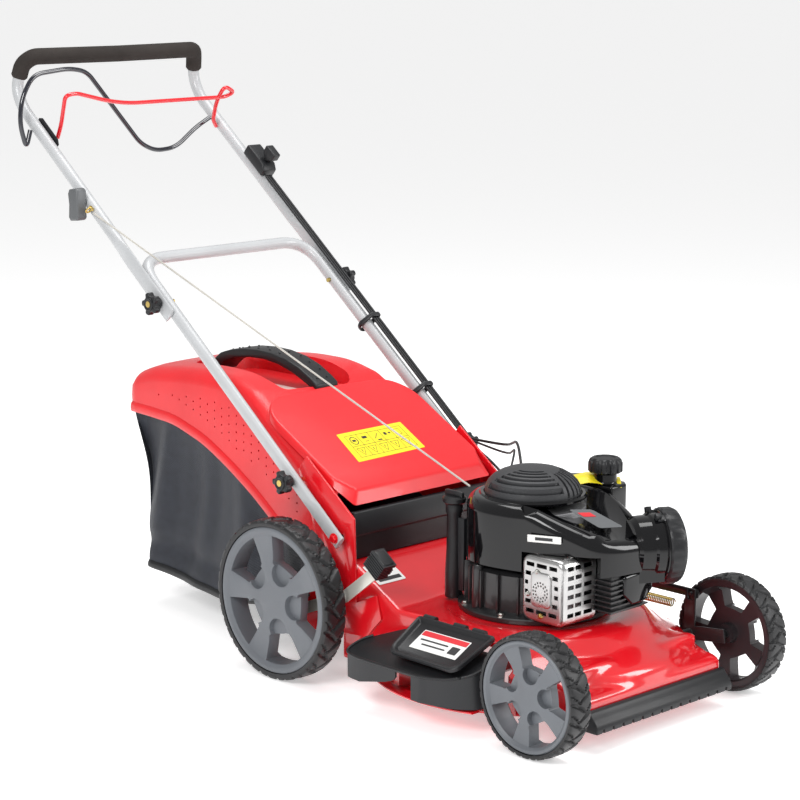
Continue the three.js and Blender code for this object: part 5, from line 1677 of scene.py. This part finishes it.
for name, spread, finish, lift in (
    ("flap_label", (-138, -34, 24, 68), LABEL_WHITE, -2.4), ("flap_label_head", (-136, -36, 26, 37), LABEL_RED, -1.9),
    ("flap_label_sign", (-130, -112, 43, 60), LABEL_INK, -1.9),
    ("flap_label_line", (-104, -42, 44, 47), LABEL_INK, -1.9),
    ("flap_label_row", (-104, -52, 54, 57), LABEL_INK, -1.9),
):
    corners = flap_corners(*spread, lift)
    if (corners[1] - corners[0]).cross(corners[3] - corners[0]).dot(FACE) < 0:
        corners.reverse()
    plate(name, corners, finish, 0, body="flap", round_by=1.5)

# %% [markdown]
# The wing is a shelf with a rounded lip. Two walls hang under it, with a gap for the grass.

# %% Mould the wing
bm = bmesh.new()


def wing_height(x):
    """Height of the wing's top at a distance from the middle."""
    return 129 + (x + 207) * 0.44


rim = eased([(-206, -183, 0), (-252, -184, 0), (-280, -150, 0), (-294, -92, 0), (-293, 60, 0), (-286, 92, 0),
             (-250, 84, 0), (-206, 30, 0)], 34, 8)
shelf_top = [(p.x, p.y, wing_height(p.x)) for p in rim]
slab(bm, shelf_top, (0, 0, -4))
soften(bm, 1.5, 50, 2)
lip = [Vector((p.x, p.y, wing_height(p.x) + 0.6)) for p in rim if p.x < -206.5]
piped(bm, lip, 2.4, sides=10, up=(0, 0, 1))


def wing_wall(points, foot):
    """A thin wall under the rim, with a height of its own at each point."""
    rows = []
    for k, p in enumerate(points):
        t = k / (len(points) - 1)
        low = foot(t)
        section = ((0, wing_height(p.x) - 1), (0.4, low), (4, low), (4, wing_height(p.x) - 3))
        rows.append([bm.verts.new((p.x + d, p.y, z)) for d, z in section])
    for first, second in zip(rows, rows[1:]):
        for j in range(4):
            bm.faces.new((first[j], second[j], second[(j + 1) % 4], first[(j + 1) % 4]))
    bm.faces.new(rows[0])
    bm.faces.new(rows[-1])


front_wall = [p for p in rim if p.x < -240 and p.y < -95] + [Vector((-294, y, 0)) for y in (-92, -84, -76, -70)]
wing_wall(front_wall, lambda t: 48 + 6 * max(0, t - 0.85))
rear_wall = [Vector((-293.6, y, 0)) for y in (-34, -28, -10, 20, 50)] + [p for p in rim if p.y > 55 and p.x < -280]
wing_wall(rear_wall, lambda t: 78 - 26 * min(1, t / 0.25))
keep(bm, "chute_wing", "chute", BLACK_PLASTIC, ["side_chute"], sharp=40, merge=0, outward=True)

# %% [markdown]
# ## Height lever and spring
# The cutting height is set with a lever on the near side, ahead of the rear wheel. Its grip is a
# thick black moulding with ribs across it, made as one block and eight thinner, larger ones.

# %% Mould the grip of the height lever
bm = bmesh.new()
low, high = Vector((0, 87.6, 217.4)), Vector((0, 64, 248))
axis = (high - low).normalized()
wide = Vector((0, axis.z, -axis.y))


def grip_block(from_s, to_s, half, x0, x1):
    """A block along the lever, between two lengths of it."""
    outline = [low + axis * from_s - wide * half, low + axis * to_s - wide * half, low + axis * to_s + wide * half,
               low + axis * from_s + wide * half]
    return slab(bm, [p + X_AXIS * x0 for p in outline], (x1 - x0, 0, 0))


grip_block(0, 38, 17.5, -234, -208)
soften(bm, 5, 40, 4)
for k in range(8):
    first = len(bm.verts)
    grip_block(3 + 4.4 * k, 4.9 + 4.4 * k, 19.2, -235.6, -206.4)
    bm.verts.ensure_lookup_table()
    fresh = set(bm.verts[first:])
    edges = [e for e in bm.edges
             if e.verts[0] in fresh and abs((e.verts[0].co - e.verts[1].co).normalized().dot(axis)) > 0.9]
    round_edges(bm, edges, 5.5, 4)
keep(bm, "lever_ribbed_grip", node_body["lever_grip"], BLACK_PLASTIC, ["lever_grip"], sharp=45,
     merge=0)

# %% [markdown]
# A tension spring lifts the deck. It is wound as a real coil from thin wire.

# %% Wind the lift spring
bm = bmesh.new()
coil = []
COILS, STEPS = 16, 14
for i in range(COILS * STEPS + 1):
    t = math.tau * i / STEPS
    coil.append((205 + 6.9 * math.cos(t), -205 + 61 * i / (COILS * STEPS), 141 + 6.9 * math.sin(t)))
piped(bm, coil, 1.15, sides=8)
keep(bm, "lift_spring_coil", node_body["lift_spring"], BRASS, ["lift_spring"], sharp=60, outward=True)

# %% [markdown]
# One plain label is stuck on the slope of the tunnel, beside the height lever.

# %% Stick on the deck's plain labels
def on_tunnel(x, y):
    """A point on the sloping top of the tunnel."""
    return (x, y, 150 + (y - 70) * 0.5545)


plate("deck_label", [on_tunnel(-176, 122), on_tunnel(-112, 122), on_tunnel(-112, 164), on_tunnel(-176, 164)],
      LABEL_WHITE, 0.5, round_by=3)
plate("deck_label_bar", [on_tunnel(-170, 127), on_tunnel(-118, 127), on_tunnel(-118, 134), on_tunnel(-170, 134)],
      LABEL_INK, 1.0, round_by=1)
print("deck done")

# %% [markdown]
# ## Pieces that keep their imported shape
# The rest of the pieces are right as they are packed. They need only rounded edges, so that
# they catch the light as pressed, moulded or turned parts do, and the right finish.

# %% Dress the remaining nodes
PLAIN = {
    "rear_bulkhead": (BLACK_PLASTIC, 2), "bracket_right": (DECK_RED, 1), "bracket_left": (DECK_RED, 1),
    "crankshaft": (ZINC, 1), "flywheel": (CAST_ALLOY, 1), "blade_adapter": (ZINC, 1), "blade": (BLADE_STEEL, 0.6),
    "blade_bolt": (ZINC, 1), "rear_axle": (FRAME_BLACK, 1), "front_axle": (FRAME_BLACK, 1),
    "link_rod": (FRAME_BLACK, 1),
    "height_lever": (CREAM_STEEL, 0.8), "gearbox": (CAST_ALLOY, 2),
}
for node, (finish, by) in PLAIN.items():
    dress(node, f"{node}_dressed", node_body[node], finish, by)
print("dressed as packed:", len(PLAIN))
